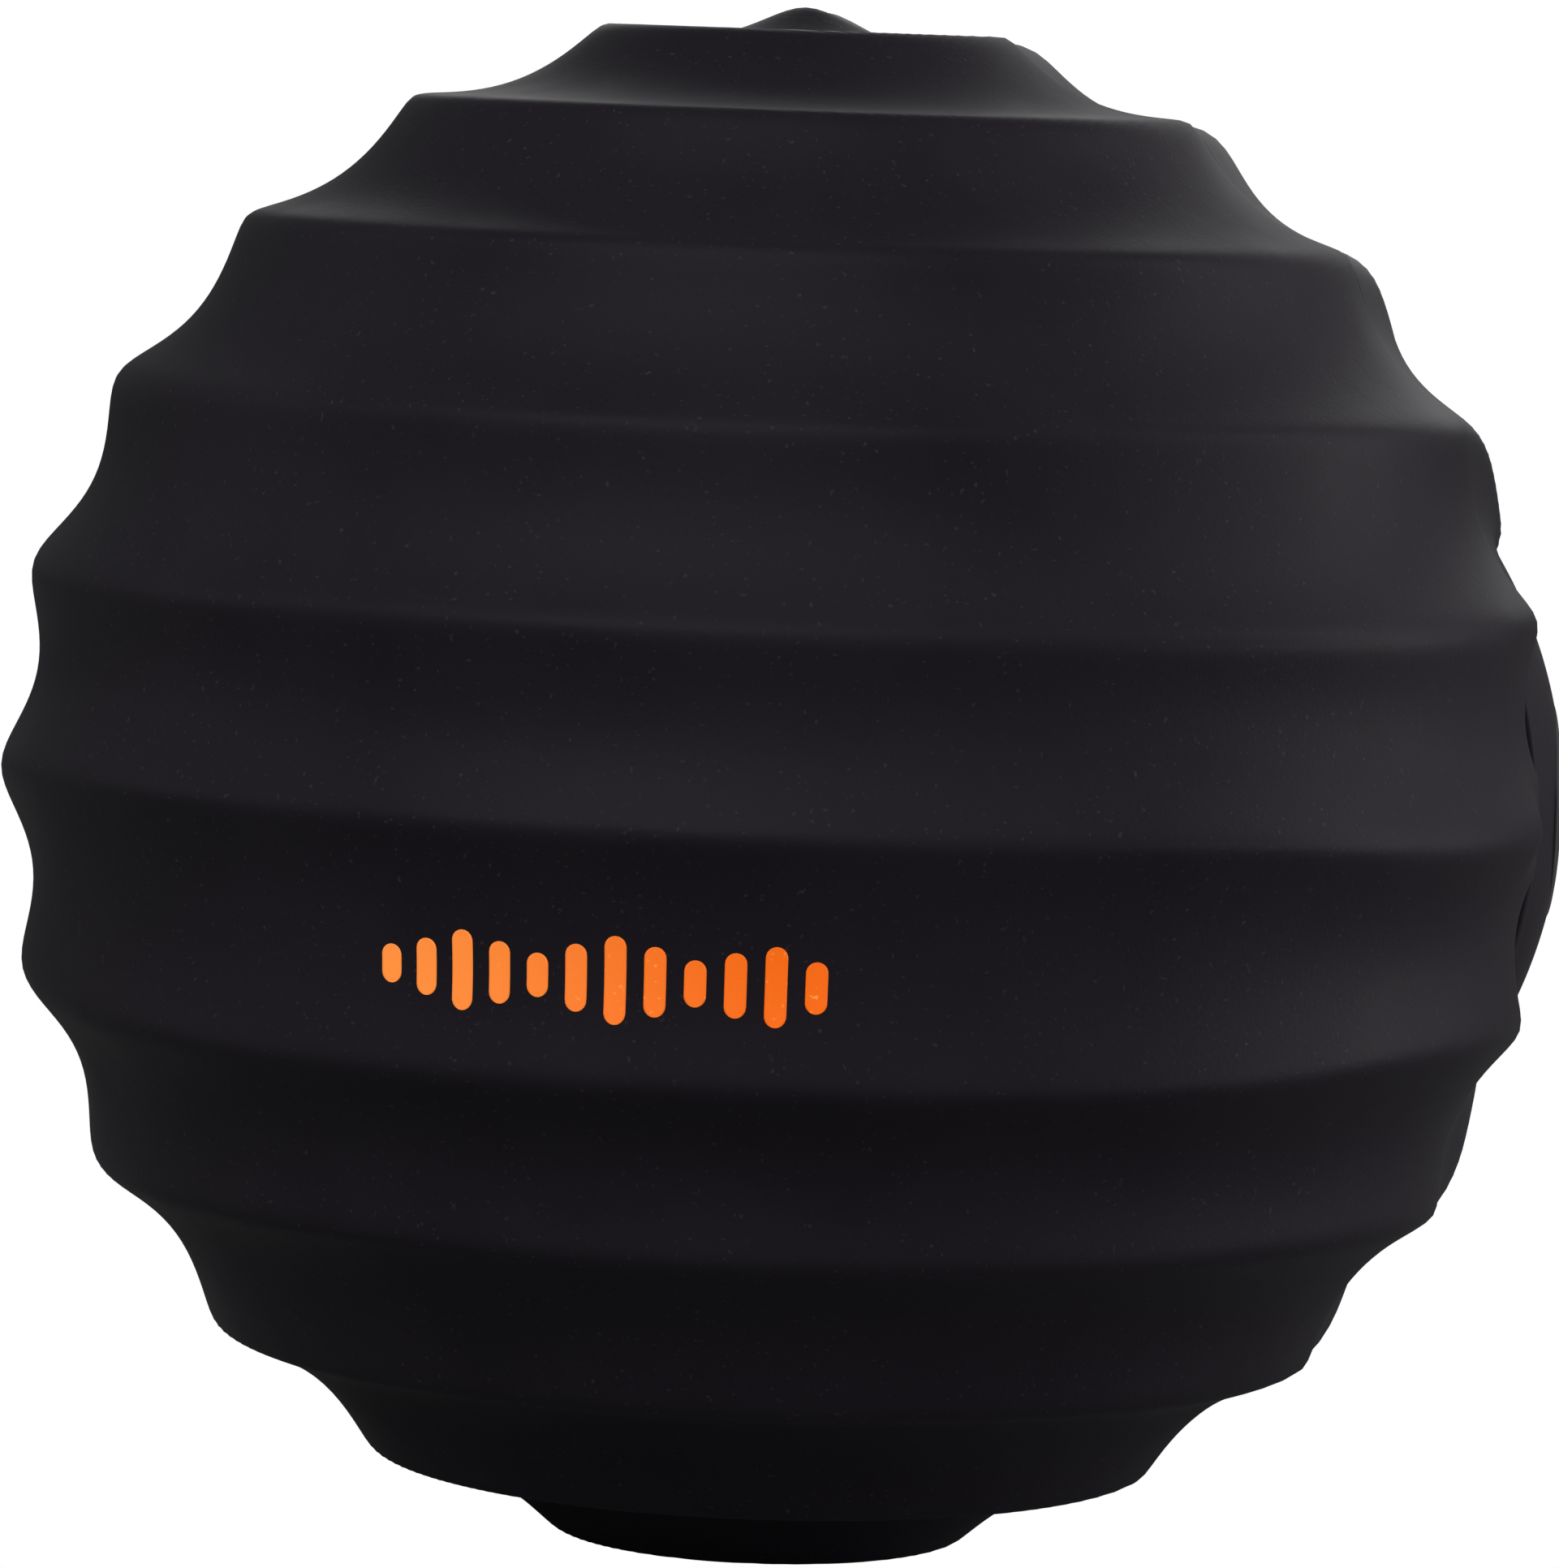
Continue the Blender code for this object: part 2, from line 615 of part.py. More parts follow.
def make_battery():
    nub = 0.5 * MM
    edge = 0.5 * MM
    for side, name in ((1, "right"), (-1, "left")):
        cell = [
            (0.0, CELL_HALF + nub),
            (3 * MM, CELL_HALF + nub),
            (3 * MM, CELL_HALF),
            (CELL_RADIUS - edge, CELL_HALF),
            (CELL_RADIUS, CELL_HALF - edge),
            (CELL_RADIUS, edge - CELL_HALF),
            (CELL_RADIUS - edge, -CELL_HALF),
            (0.0, -CELL_HALF),
        ]
        upright = Matrix.Rotation(0.0 if side < 0 else math.pi, 4, "X")
        place = Matrix.Translation((side * CELL_X, CELL_Y, 0.0)) @ upright
        turned(f"cell_{name}", cell, place, "cell_wrap", steps=24)

    tray = box("battery_tray", (-TRAY_HALF_WIDTH, PLATE_HALF + CLEAR, -TRAY_HALF_LENGTH),
               (TRAY_HALF_WIDTH, TRAY_TOP, TRAY_HALF_LENGTH), WORLD, "chassis")
    ears = box("tray_ears", (-EAR_HALF_SPAN, 9 * MM, -7 * MM), (EAR_HALF_SPAN, TRAY_TOP, 7 * MM))
    troughs = [(CELL_RADIUS + CLEAR, sx * CELL_X, CELL_Y, -40 * MM, 40 * MM) for sx in (1, -1)]
    holes = [(1.5 * MM, sx * STRAP_SCREW_X, 0.0, 5 * MM, 20 * MM) for sx in (1, -1)]
    combine(tray, "UNION", ears)
    for radius, x, y, start, end in troughs:
        side = "right" if x > 0 else "left"
        combine(tray, "DIFFERENCE",
                cylinders(f"trough_{side}", [(radius, x, y, start, end)], segments=24))
    combine(tray, "DIFFERENCE", cylinders("tray_pilots", holes, REAR, segments=12))

    strap_low = TRAY_TOP + CLEAR
    strap_foot = strap_low + 1.6 * MM
    strap = box("battery_strap", (-21 * MM, strap_low, -6 * MM), (21 * MM, STRAP_TOP, 6 * MM),
                WORLD, "chassis")
    feet = box("strap_feet", (-EAR_HALF_SPAN, strap_low, -6 * MM),
               (EAR_HALF_SPAN, strap_foot, 6 * MM))
    inside = box("strap_inside", (-19.4 * MM, 10 * MM, -8 * MM), (19.4 * MM, 24.6 * MM, 8 * MM))
    combine(strap, "UNION", feet)
    combine(strap, "DIFFERENCE", inside, cylinders("strap_holes", holes, REAR, segments=12))
    for number, sx in enumerate((1, -1), start=1):
        place = REAR @ Matrix.Translation((sx * STRAP_SCREW_X, 0.0, strap_foot + CLEAR))
        screw(f"strap_screw_{number}", place, 1.9 * MM, 1.8 * MM, 1.2 * MM, 6 * MM)

    tab_low = CELL_HALF + nub + CLEAR
    tab_high = tab_low + 0.4 * MM
    box("cell_link", (-14 * MM, 11 * MM, tab_low), (14 * MM, 19 * MM, tab_high), WORLD, "nickel")
    for side, name in ((1, "right"), (-1, "left")):
        near = side * 4 * MM
        far = side * 14 * MM
        box(f"cell_tab_{name}", (min(near, far), 11 * MM, -tab_high),
            (max(near, far), 19 * MM, -tab_low), WORLD, "nickel")


# ---------------------------------------------------------------- control side


def make_control_board():
    board = box("control_board", (-9 * MM, -15 * MM, BOARD_LOW), (14 * MM, 15 * MM, BOARD_HIGH),
                BUTTON_FRAME, "board")
    holes = [(BOARD_PILOT, BOARD_SCREW_X, sy * BOARD_SCREW_Y, 40 * MM, 50 * MM) for sy in (1, -1)]
    combine(board, "DIFFERENCE", cylinders("board_holes", holes, BUTTON_FRAME, segments=12))
    below = BOARD_LOW - CLEAR
    box("controller_chip", (-4 * MM, -4 * MM, below - 0.9 * MM), (4 * MM, 4 * MM, below),
        BUTTON_FRAME, "chip")
    for number, sy in enumerate((1, -1), start=1):
        place = (BUTTON_FRAME @ Matrix.Translation((BOARD_SCREW_X, sy * BOARD_SCREW_Y, below))
                 @ Matrix.Rotation(math.pi, 4, "X"))
        screw(f"board_screw_{number}", place, 1.9 * MM, 1.4 * MM, 0.85 * MM, 7 * MM)

    switch = box("tact_switch", (-3 * MM, -3 * MM, BOARD_HIGH + CLEAR),
                 (3 * MM, 3 * MM, 50.6 * MM), BUTTON_FRAME, "chip")
    actuator = cylinders("switch_actuator", [(1.6 * MM, 0.0, 0.0, 49 * MM, 51.1 * MM)],
                         BUTTON_FRAME)
    combine(switch, "UNION", actuator)

    for number, (x, y) in enumerate(led_places(), start=1):
        profile = [
            (0.0, LED_TIP),
            (0.7 * MM, LED_TIP - 0.15 * MM),
            (LED_RADIUS, LED_TIP - 0.8 * MM),
            (LED_RADIUS, LED_FOOT + 1.9 * MM),
            (1.6 * MM, LED_FOOT + 1.7 * MM),
            (1.6 * MM, LED_FOOT),
            (0.0, LED_FOOT),
        ]
        place = BUTTON_FRAME @ Matrix.Translation((x, y, 0.0))
        turned(f"led_{number}", profile, place, "lens", steps=12)


def make_button():
    """Cap, retaining flange and plunger in one piece, sliding along the pad's axis."""
    cap = arc(PAD_RADIUS, 0.0, math.asin(6.0 * MM / PAD_RADIUS), 3)
    cap[0] = (0.0, PAD_RADIUS)
    cap += [
        (BUTTON_RADIUS, 61.1 * MM),
        (BUTTON_RADIUS, BUTTON_SHOULDER),
        (BUTTON_FLANGE, BUTTON_SHOULDER),
        (BUTTON_FLANGE, BUTTON_FOOT),
        (2.0 * MM, BUTTON_FOOT),
        (2.0 * MM, BUTTON_FOOT - 0.5 * MM),
        (0.0, BUTTON_FOOT - 0.5 * MM),
    ]
    axis = pivot("button_axis", PAD_RADIUS * BUTTON_OUT)
    attach(turned("power_button", cap, BUTTON_FRAME, "button", steps=24), axis)

    inner = BUTTON_RADIUS + CLEAR
    ring = [
        (inner, 61.3 * MM),
        (inner + 0.3 * MM, 61.6 * MM),
        (BEZEL_OUTER - 0.4 * MM, 61.6 * MM),
        (BEZEL_OUTER, 61.2 * MM),
        (BEZEL_OUTER, BEZEL_FOOT),
        (inner, BEZEL_FOOT),
    ]
    turned("button_bezel", ring, BUTTON_FRAME, "housing", closed=True, steps=24)


# ---------------------------------------------------------------- charging side


def make_charging_port():
    board = box("charge_board", (-7 * MM, -11.5 * MM, CHARGE_LOW), (9 * MM, 11.5 * MM, CHARGE_HIGH),
                PORT_FRAME, "board")
    holes = [(CHARGE_PILOT, BOARD_SCREW_X, sy * CHARGE_SCREW_Y, 40 * MM, 50 * MM)
             for sy in (1, -1)]
    combine(board, "DIFFERENCE", cylinders("charge_holes", holes, PORT_FRAME, segments=12))
    for number, sy in enumerate((1, -1), start=1):
        place = (PORT_FRAME
                 @ Matrix.Translation((BOARD_SCREW_X, sy * CHARGE_SCREW_Y, CHARGE_LOW - CLEAR))
                 @ Matrix.Rotation(math.pi, 4, "X"))
        screw(f"charge_screw_{number}", place, 1.6 * MM, 1.2 * MM, 0.8 * MM, 5.5 * MM)

    socket = box("charge_socket", (-1.63 * MM, -4.47 * MM, CHARGE_HIGH + CLEAR),
                 (1.63 * MM, 4.47 * MM, 59.0 * MM), PORT_FRAME, "nickel")
    pocket = box("socket_pocket", (-1.3 * MM, -4.15 * MM, 53 * MM), (1.3 * MM, 4.15 * MM, 61 * MM),
                 PORT_FRAME)
    tongue = box("socket_tongue", (-0.35 * MM, -3.4 * MM, 52 * MM), (0.35 * MM, 3.4 * MM, 58 * MM),
                 PORT_FRAME)
    combine(pocket, "DIFFERENCE", tongue)
    combine(socket, "DIFFERENCE", pocket)

    bezel = cylinders("port_bezel", [(PORT_HOLE - 0.4 * MM, 0.0, 0.0, BEZEL_FOOT, 59.6 * MM)],
                      PORT_FRAME, "housing", segments=24)
    combine(bezel, "DIFFERENCE",
            box("bezel_slot", (-SLOT_X, -SLOT_Y, CUT_START), (SLOT_X, SLOT_Y, CUT_END),
                PORT_FRAME))

    cap = [
        (0.0, PAD_RADIUS),
        (3.5 * MM, 61.75 * MM),
        (PLUG_RADIUS - 0.3 * MM, 61.5 * MM),
        (PLUG_RADIUS, PLUG_RIM),
        (5.4 * MM, PLUG_UNDERSIDE),
        (0.0, PLUG_UNDERSIDE),
    ]
    hinge = pivot("plug_hinge", PORT_FRAME @ Vector((PLUG_RADIUS, 0.0, PLUG_RIM)))
    plug = turned("port_plug", cap, PORT_FRAME, "silicone", steps=24)
    stub = box("plug_stub", (-0.95 * MM, -3.8 * MM, 59.3 * MM), (0.95 * MM, 3.8 * MM, 60.5 * MM),
               PORT_FRAME)
    combine(plug, "UNION", stub)
    attach(plug, hinge)


# ---------------------------------------------------------------- wires


def smooth_route(points, steps):
    """Catmull-Rom points through a short list of route points."""
    knots = [Vector(p) * MM for p in points]
    knots = [2 * knots[0] - knots[1], *knots, 2 * knots[-1] - knots[-2]]
    route = []
    for i in range(1, len(knots) - 2):
        before, start, end, after = knots[i - 1:i + 3]
        for j in range(steps):
            t = j / steps
            route.append(0.5 * (2 * start + (end - before) * t
                                + (2 * before - 5 * start + 4 * end - after) * t ** 2
                                + (3 * start - before - 3 * end + after) * t ** 3))
    route.append(knots[-2])
    return route


def wire(name, material, points, radius=0.75 * MM):
    route = smooth_route(points, 3)
    curve = bpy.data.curves.new(name, "CURVE")
    curve.dimensions = "3D"
    curve.bevel_depth = radius
    curve.bevel_resolution = 1
    curve.use_fill_caps = True
    spline = curve.splines.new("POLY")
    spline.points.add(len(route) - 1)
    for knot, place in zip(spline.points, route):
        knot.co = (*place, 1.0)
    add_object(name, curve, WORLD, material)


def make_wires():
    """Routes in millimetres, from each unit to the inner face of the control board."""
    wire("motor_lead_red", "wire_red",
         [(10, -9.5, -21.7), (13, -9, -22.6), (19, -8, -22), (25, -6, -18), (30, -1, -11),
          (33.5, 5, -6.5), (38.5, 9.4, -6), (43.1, 10.8, -6)])
    wire("motor_lead_black", "wire_black",
         [(12.3, -24, -21.7), (16, -24, -22.6), (23, -19.5, -22), (29, -11, -19),
          (33.5, -2, -13), (36, 5, -9.6), (40.5, 8, -9.3), (43.5, 8.8, -9.3)])
    wire("battery_lead_red", "wire_red",
         [(9, 15, -34.6), (11, 16, -37), (19, 17.5, -36), (22.6, 18.5, -30), (24.5, 20, -22),
          (29, 20.5, -12), (34, 20, 0), (38, 18, 6), (41.4, 17, 7)])
    wire("battery_lead_black", "wire_black",
         [(-9, 15, -34.6), (-7, 17, -38), (8, 20.5, -40), (18.5, 22.5, -37), (22.6, 24, -30),
          (25.5, 25.5, -22), (31, 25.5, -10), (35, 23.5, -2), (38.5, 21, 2.6), (40.6, 20.3, 3)])
    wire("charge_lead", "wire_black",
         [(-41.6, 13, 6), (-38, 16, 11), (-30, 25, 15), (-15, 31, 16), (0, 33, 16),
          (15, 31, 16), (28, 25, 14), (36, 19, 11), (41.3, 17, 10.5)])


def main():
    make_covers()
    make_shells()
    make_seam_ring()
    make_case_screws()
    make_chassis()
    make_motor_body()
    make_rotor()
    make_motor_mounts()
    make_battery()
    make_control_board()
    make_button()
    make_charging_port()
    make_wires()


main()
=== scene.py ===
"""Looks for the vibrating massage ball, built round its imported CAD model.

Frame: origin at the ball's centre, +Z along the front half's ridge axis, -Y through the front half,
+X on the power button's side.  Everything is in metres, and small sizes are multiples of MM.
"""

import json
import math

import bmesh
import bpy
import numpy as np
from mathutils import Matrix, Vector


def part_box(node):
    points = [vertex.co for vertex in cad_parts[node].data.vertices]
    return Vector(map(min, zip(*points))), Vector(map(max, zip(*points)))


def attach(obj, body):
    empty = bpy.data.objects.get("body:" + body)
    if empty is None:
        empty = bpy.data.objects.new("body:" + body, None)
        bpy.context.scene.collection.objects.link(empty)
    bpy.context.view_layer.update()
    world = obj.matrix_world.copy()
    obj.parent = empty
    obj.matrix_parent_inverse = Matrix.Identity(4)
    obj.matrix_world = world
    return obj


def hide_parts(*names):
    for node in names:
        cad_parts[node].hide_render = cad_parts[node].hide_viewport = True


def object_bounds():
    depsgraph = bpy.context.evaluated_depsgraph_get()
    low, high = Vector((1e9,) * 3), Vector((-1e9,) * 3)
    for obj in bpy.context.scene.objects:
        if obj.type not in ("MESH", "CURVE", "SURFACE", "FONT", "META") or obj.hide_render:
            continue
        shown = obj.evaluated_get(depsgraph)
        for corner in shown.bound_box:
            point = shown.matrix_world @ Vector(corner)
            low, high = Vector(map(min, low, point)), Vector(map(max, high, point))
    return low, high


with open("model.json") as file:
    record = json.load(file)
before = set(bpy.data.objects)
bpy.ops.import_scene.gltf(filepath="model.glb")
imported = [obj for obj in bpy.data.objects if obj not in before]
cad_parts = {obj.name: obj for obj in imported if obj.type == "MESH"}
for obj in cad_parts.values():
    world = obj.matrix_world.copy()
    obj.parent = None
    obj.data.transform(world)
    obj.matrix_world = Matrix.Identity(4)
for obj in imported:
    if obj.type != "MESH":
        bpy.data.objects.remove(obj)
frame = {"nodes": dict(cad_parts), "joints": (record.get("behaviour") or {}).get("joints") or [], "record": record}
cad_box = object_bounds()

MM = 0.001
JOINTS = {joint["name"]: joint for joint in frame["joints"]}

# The ball and its ridges.  Their number and depth are the CAD model's; the crests are finer.
BALL = cad_box[1][1]
RIDGES = 24
RIDGE_DEPTH = 0.035
CREST_ROUND = 0.10
SEAM_CREST_ROUND = 0.30
POLE_CREST_ROUND = 0.28
REAR_CREST_ROUND = 0.16
COVER_INNER = 57.9 * MM
LIP_INNER = 55.4 * MM
SEAM_HALF_GAP = 0.8 * MM
LIP_THICKNESS = 1.2 * MM
LIP_WIDTH = 1.6 * MM
EDGE_ROUND = 0.6 * MM
VALLEY_RADIUS = 0.962 * BALL

# Where the crests soften: how far a point lies to the side, from 0 in the middle to 1 at the
# ball's edge, and how near a pole it lies.  The right side softens by only a share of the left's.
LEFT_SOFT_START = 0.60
LEFT_SOFT_SPAN = 0.36
RIGHT_SOFT_START = 0.75
RIGHT_SOFT_SPAN = 0.25
RIGHT_SOFT_SHARE = 0.35
POLE_SOFT_START = math.radians(79.0)
POLE_SOFT_SPAN = math.radians(6.0)

# The two smooth domed pads, mostly on the rear half, reach a little past the seam.
PAD_TOP = 1.002 * BALL
BUTTON_TOP = 0.990 * BALL
PAD_SPREAD = math.radians(20.5)
PAD_EDGE = math.radians(3.0)
FRONT_PAD_EDGE = 1.5 * PAD_EDGE
PAD_DROP = 0.040 * BALL
PAD_ROLL_DROP = 0.0083 * BALL
PAD_ROLL_REACH = math.radians(8.0)
FRONT_PAD = 0.979 * BALL

# The rear half draws in a little where it meets the seam.
ROLL_DROP = 0.008 * BALL
ROLL_REACH = math.radians(13.0)

# The band that carries the print is a little taller than the others.
PRINT_BAND_SHIFT = math.radians(1.3)
PRINT_BAND_REACH = math.radians(6.5)
PRINT_BAND_START = 0.3
PRINT_BAND_SPAN = 0.5

# Holes through the rear skin, each cut right through it.
BUTTON_HOLE = 8.7 * MM
PORT_HOLE = 7.6 * MM
LIGHT_HOLE = 1.5 * MM
LIGHT_COUNT = 4
HOLE_FROM = 50 * MM
HOLE_TO = 70 * MM

# How finely the covers are made.
ROWS = 150
COLUMNS = 480
EDGE_STEPS = 6
INNER_STEPS = 16
RIM_PASSES = 4

FRONT = Matrix.Rotation(math.radians(90.0), 4, "X")
REAR = Matrix.Rotation(math.radians(-90.0), 4, "X")
UP = Vector((0.0, 0.0, 1.0))


def axis_frame(x_axis, y_axis, z_axis):
    """A rotation whose columns are the three given directions."""
    return Matrix((x_axis, y_axis, z_axis)).transposed().to_4x4()


BUTTON_OUT = -Vector(JOINTS["button_press"]["axis"]).normalized()
PORT_OUT = Vector((-BUTTON_OUT.x, BUTTON_OUT.y, 0.0))
BUTTON_FRAME = axis_frame(UP.cross(BUTTON_OUT), UP, BUTTON_OUT)
PORT_FRAME = axis_frame(-UP.cross(PORT_OUT), -UP, PORT_OUT)


def smooth_step(value):
    value = np.clip(value, 0.0, 1.0)
    return value * value * (3 - 2 * value)


# ---------------------------------------------------------------- meshes


def new_piece(name, mesh):
    piece = bpy.data.objects.new(name, mesh)
    bpy.context.scene.collection.objects.link(piece)
    return piece


def smooth(mesh, angle=38.0):
    mesh.shade_smooth()
    mesh.set_sharp_from_angle(angle=math.radians(angle))


def closed_rows(name, rows):
    """A closed surface through rows of points, whose first and last rows are single points."""
    count, columns = rows.shape[:2]
    inner = rows[1:-1].reshape(-1, 3)
    points = np.vstack([rows[0, :1], inner, rows[-1, :1]])
    faces = []
    last = len(points) - 1
    for j in range(columns):
        k = (j + 1) % columns
        faces.append((0, 1 + j, 1 + k))
    for i in range(count - 3):
        low = 1 + i * columns
        high = low + columns
        for j in range(columns):
            k = (j + 1) % columns
            faces.append((low + j, high + j, high + k, low + k))
    base = last - columns
    for j in range(columns):
        k = (j + 1) % columns
        faces.append((base + j, last, base + k))
    mesh = bpy.data.meshes.new(name)
    mesh.from_pydata(points.tolist(), [], faces)
    return mesh


def turned(name, profile, place, steps=96, closed=False):
    """Turn (radius, height) points about the place's Z; a closed profile makes a ring."""
    bm = bmesh.new()
    verts = [bm.verts.new((radius, 0.0, height)) for radius, height in profile]
    edges = [bm.edges.new(pair) for pair in zip(verts, verts[1:])]
    if closed:
        edges.append(bm.edges.new((verts[-1], verts[0])))
    bmesh.ops.spin(bm, geom=verts + edges, cent=(0, 0, 0), axis=(0, 0, 1), angle=math.tau,
                   steps=steps, use_duplicate=False, use_merge=True)
    bmesh.ops.remove_doubles(bm, verts=bm.verts, dist=0.000001)
    bmesh.ops.recalc_face_normals(bm, faces=bm.faces)
    mesh = bpy.data.meshes.new(name)
    bm.to_mesh(mesh)
    bm.free()
    mesh.transform(place)
    smooth(mesh)
    return new_piece(name, mesh)


def rounded(points, radius, segments=5):
    """Round each inner corner of a (radius, height) outline."""
    result = [points[0]]
    for before, corner, after in zip(points, points[1:], points[2:]):
        corner_v = Vector(corner)
        to_before = Vector(before) - corner_v
        to_after = Vector(after) - corner_v
        reach = min(radius, 0.45 * to_before.length, 0.45 * to_after.length)
        start = corner_v + to_before.normalized() * reach
        end = corner_v + to_after.normalized() * reach
        for i in range(segments + 1):
            t = i / segments
            blend = start * (1 - t) ** 2 + corner_v * (2 * t * (1 - t)) + end * t * t
            result.append((blend.x, blend.y))
    result.append(points[-1])
    return result


def cylinder_mesh(name, pieces, place, segments=64):
    bm = bmesh.new()
    for radius, x, y, low, high in pieces:
        centre = place @ Matrix.Translation((x, y, (low + high) / 2))
        bmesh.ops.create_cone(bm, cap_ends=True, segments=segments, radius1=radius,
                              radius2=radius, depth=high - low, matrix=centre)
    mesh = bpy.data.meshes.new(name)
    bm.to_mesh(mesh)
    bm.free()
    return mesh


def cut(piece, cutter_mesh):
    """Cut a mesh out of a closed piece, once and for all."""
    cutter = bpy.data.objects.new("cutter", cutter_mesh)
    bpy.context.scene.collection.objects.link(cutter)
    modifier = piece.modifiers.new("cut", "BOOLEAN")
    modifier.operation = "DIFFERENCE"
    modifier.solver = "MANIFOLD"
    modifier.object = cutter
    bpy.context.view_layer.update()
    evaluated = piece.evaluated_get(bpy.context.evaluated_depsgraph_get())
    mesh = bpy.data.meshes.new_from_object(evaluated)
    piece.modifiers.clear()
    piece.data = mesh
    bpy.data.objects.remove(cutter, do_unlink=True)


# ---------------------------------------------------------------- covers


def ridge_radius(latitude, crest_round):
    """Scallops between narrow rounded crests, one of them on the equator.

    from_crest runs from 0 on a crest to 1 in the middle of a valley.
    """
    cycle = latitude * RIDGES / math.tau
    from_crest = 2 * np.abs(cycle - np.round(cycle))
    full = np.sqrt(1 + crest_round ** 2) - crest_round
    softened = (np.sqrt(from_crest ** 2 + crest_round ** 2) - crest_round) / full
    return BALL * (1 - RIDGE_DEPTH * (1 - (1 - softened) ** 2))


def crest_softness(direction, latitude):
    """Crests are crisp in front, and rounder near the seam, most on the left, and at the poles."""
    left = smooth_step((-direction[..., 0] - LEFT_SOFT_START) / LEFT_SOFT_SPAN)
    right = smooth_step((direction[..., 0] - RIGHT_SOFT_START) / RIGHT_SOFT_SPAN)
    pole = smooth_step((np.abs(latitude) - POLE_SOFT_START) / POLE_SOFT_SPAN)
    side = np.maximum(left, RIGHT_SOFT_SHARE * right)
    softness = CREST_ROUND + (SEAM_CREST_ROUND - CREST_ROUND) * side
    return softness + (POLE_CREST_ROUND - softness) * pole


def off_pads(direction):
    """The angle from each direction to the axis of the nearer pad."""
    off = np.full(direction.shape[:-1], math.pi)
    for out in (BUTTON_OUT, PORT_OUT):
        off = np.minimum(off, np.arccos(np.clip(direction @ np.array(out), -1, 1)))
    return off


def ridge_latitude(direction):
    """Latitude for the front ridges, shifted so that the printed band is taller."""
    latitude = np.arcsin(np.clip(direction[..., 2], -1, 1))
    low_crest = -math.tau / RIDGES - PRINT_BAND_SHIFT
    above = np.exp(-0.5 * ((latitude - PRINT_BAND_SHIFT) / PRINT_BAND_REACH) ** 2)
    below = np.exp(-0.5 * ((latitude - low_crest) / PRINT_BAND_REACH) ** 2)
    facing = smooth_step((-direction[..., 1] - PRINT_BAND_START) / PRINT_BAND_SPAN)
    return latitude + PRINT_BAND_SHIFT * facing * (below - above)


def front_radius(direction):
    """Rings round Z; the equator ring is lower where it runs into the pads."""
    latitude = ridge_latitude(direction)
    radius = ridge_radius(latitude, crest_softness(direction, latitude))
    share = smooth_step((PAD_SPREAD - off_pads(direction)) / FRONT_PAD_EDGE)
    return radius + (np.minimum(radius, FRONT_PAD) - radius) * share


def rear_radius(direction):
    """Rings round X with the two domed pads let into them, all drawn in towards the seam."""
    latitude = np.arcsin(np.clip(direction[..., 0], -1, 1))
    radius = ridge_radius(latitude, REAR_CREST_ROUND)
    off = off_pads(direction)
    share = smooth_step((PAD_SPREAD + PAD_EDGE / 2 - off) / PAD_EDGE)
    from_seam = np.arcsin(np.clip(direction[..., 1], 0, 1))
    pad = PAD_TOP - PAD_DROP * (off / PAD_SPREAD) ** 2
    pad = pad - PAD_ROLL_DROP * np.clip(1 - from_seam / PAD_ROLL_REACH, 0, 1) ** 2
    return radius + (pad - radius) * share - ROLL_DROP * smooth_step(1 - from_seam / ROLL_REACH)


def cover_rows(radius_of, place):
    """Rows from the cover's middle out to the seam, round its edge and back along the inside."""
    turn = np.array(place.to_3x3())
    theta = np.arange(COLUMNS) * math.tau / COLUMNS
    around = np.stack([np.cos(theta), np.sin(theta), np.zeros(COLUMNS)], axis=-1)
    out = np.array([0.0, 0.0, 1.0])

    def directions(psi):
        local = np.sin(psi)[:, None] * around + np.cos(psi)[:, None] * out
        return local @ turn.T

    level = SEAM_HALF_GAP + EDGE_ROUND
    psi_end = np.full(COLUMNS, math.pi / 2)
    for _ in range(RIM_PASSES):
        psi_end = np.arccos(level / radius_of(directions(psi_end)))

    rows = []
    for i in range(ROWS + 1):
        psi = psi_end * (i / ROWS)
        heading = directions(psi)
        rows.append(heading * radius_of(heading)[:, None])

    rim = radius_of(directions(psi_end)) * np.sin(psi_end)
    for i in range(1, EDGE_STEPS + 1):
        angle = i / EDGE_STEPS * math.pi / 2
        across = rim - EDGE_ROUND + EDGE_ROUND * math.cos(angle)
        height = level - EDGE_ROUND * math.sin(angle)
        rows.append((across[:, None] * around + height * out) @ turn.T)

    inside = [(LIP_INNER + LIP_WIDTH, SEAM_HALF_GAP), (LIP_INNER, SEAM_HALF_GAP),
              (LIP_INNER, SEAM_HALF_GAP + LIP_THICKNESS)]
    start = math.acos((SEAM_HALF_GAP + LIP_THICKNESS) / COVER_INNER)
    for i in range(INNER_STEPS + 1):
        angle = start * (1 - i / INNER_STEPS)
        inside.append((COVER_INNER * math.sin(angle), COVER_INNER * math.cos(angle)))
    for across, height in inside:
        rows.append((across * around + height * out) @ turn.T)
    return np.array(rows)


def ridge_shade(mesh):
    """Store how high each point stands on its ridge, for handling wear on the crests."""
    coords = np.empty(len(mesh.vertices) * 3)
    mesh.vertices.foreach_get("co", coords)
    radius = np.linalg.norm(coords.reshape(-1, 3), axis=1)
    share = np.clip((radius - VALLEY_RADIUS) / (BALL - VALLEY_RADIUS), 0.0, 1.0)
    attribute = mesh.attributes.new("ridge", "FLOAT", "POINT")
    attribute.data.foreach_set("value", share.astype(np.float32))


def make_front_skin():
    rows = cover_rows(front_radius, FRONT)
    skin = new_piece("front_skin", closed_rows("front_skin", rows))
    smooth(skin.data, 60)
    ridge_shade(skin.data)
    return skin


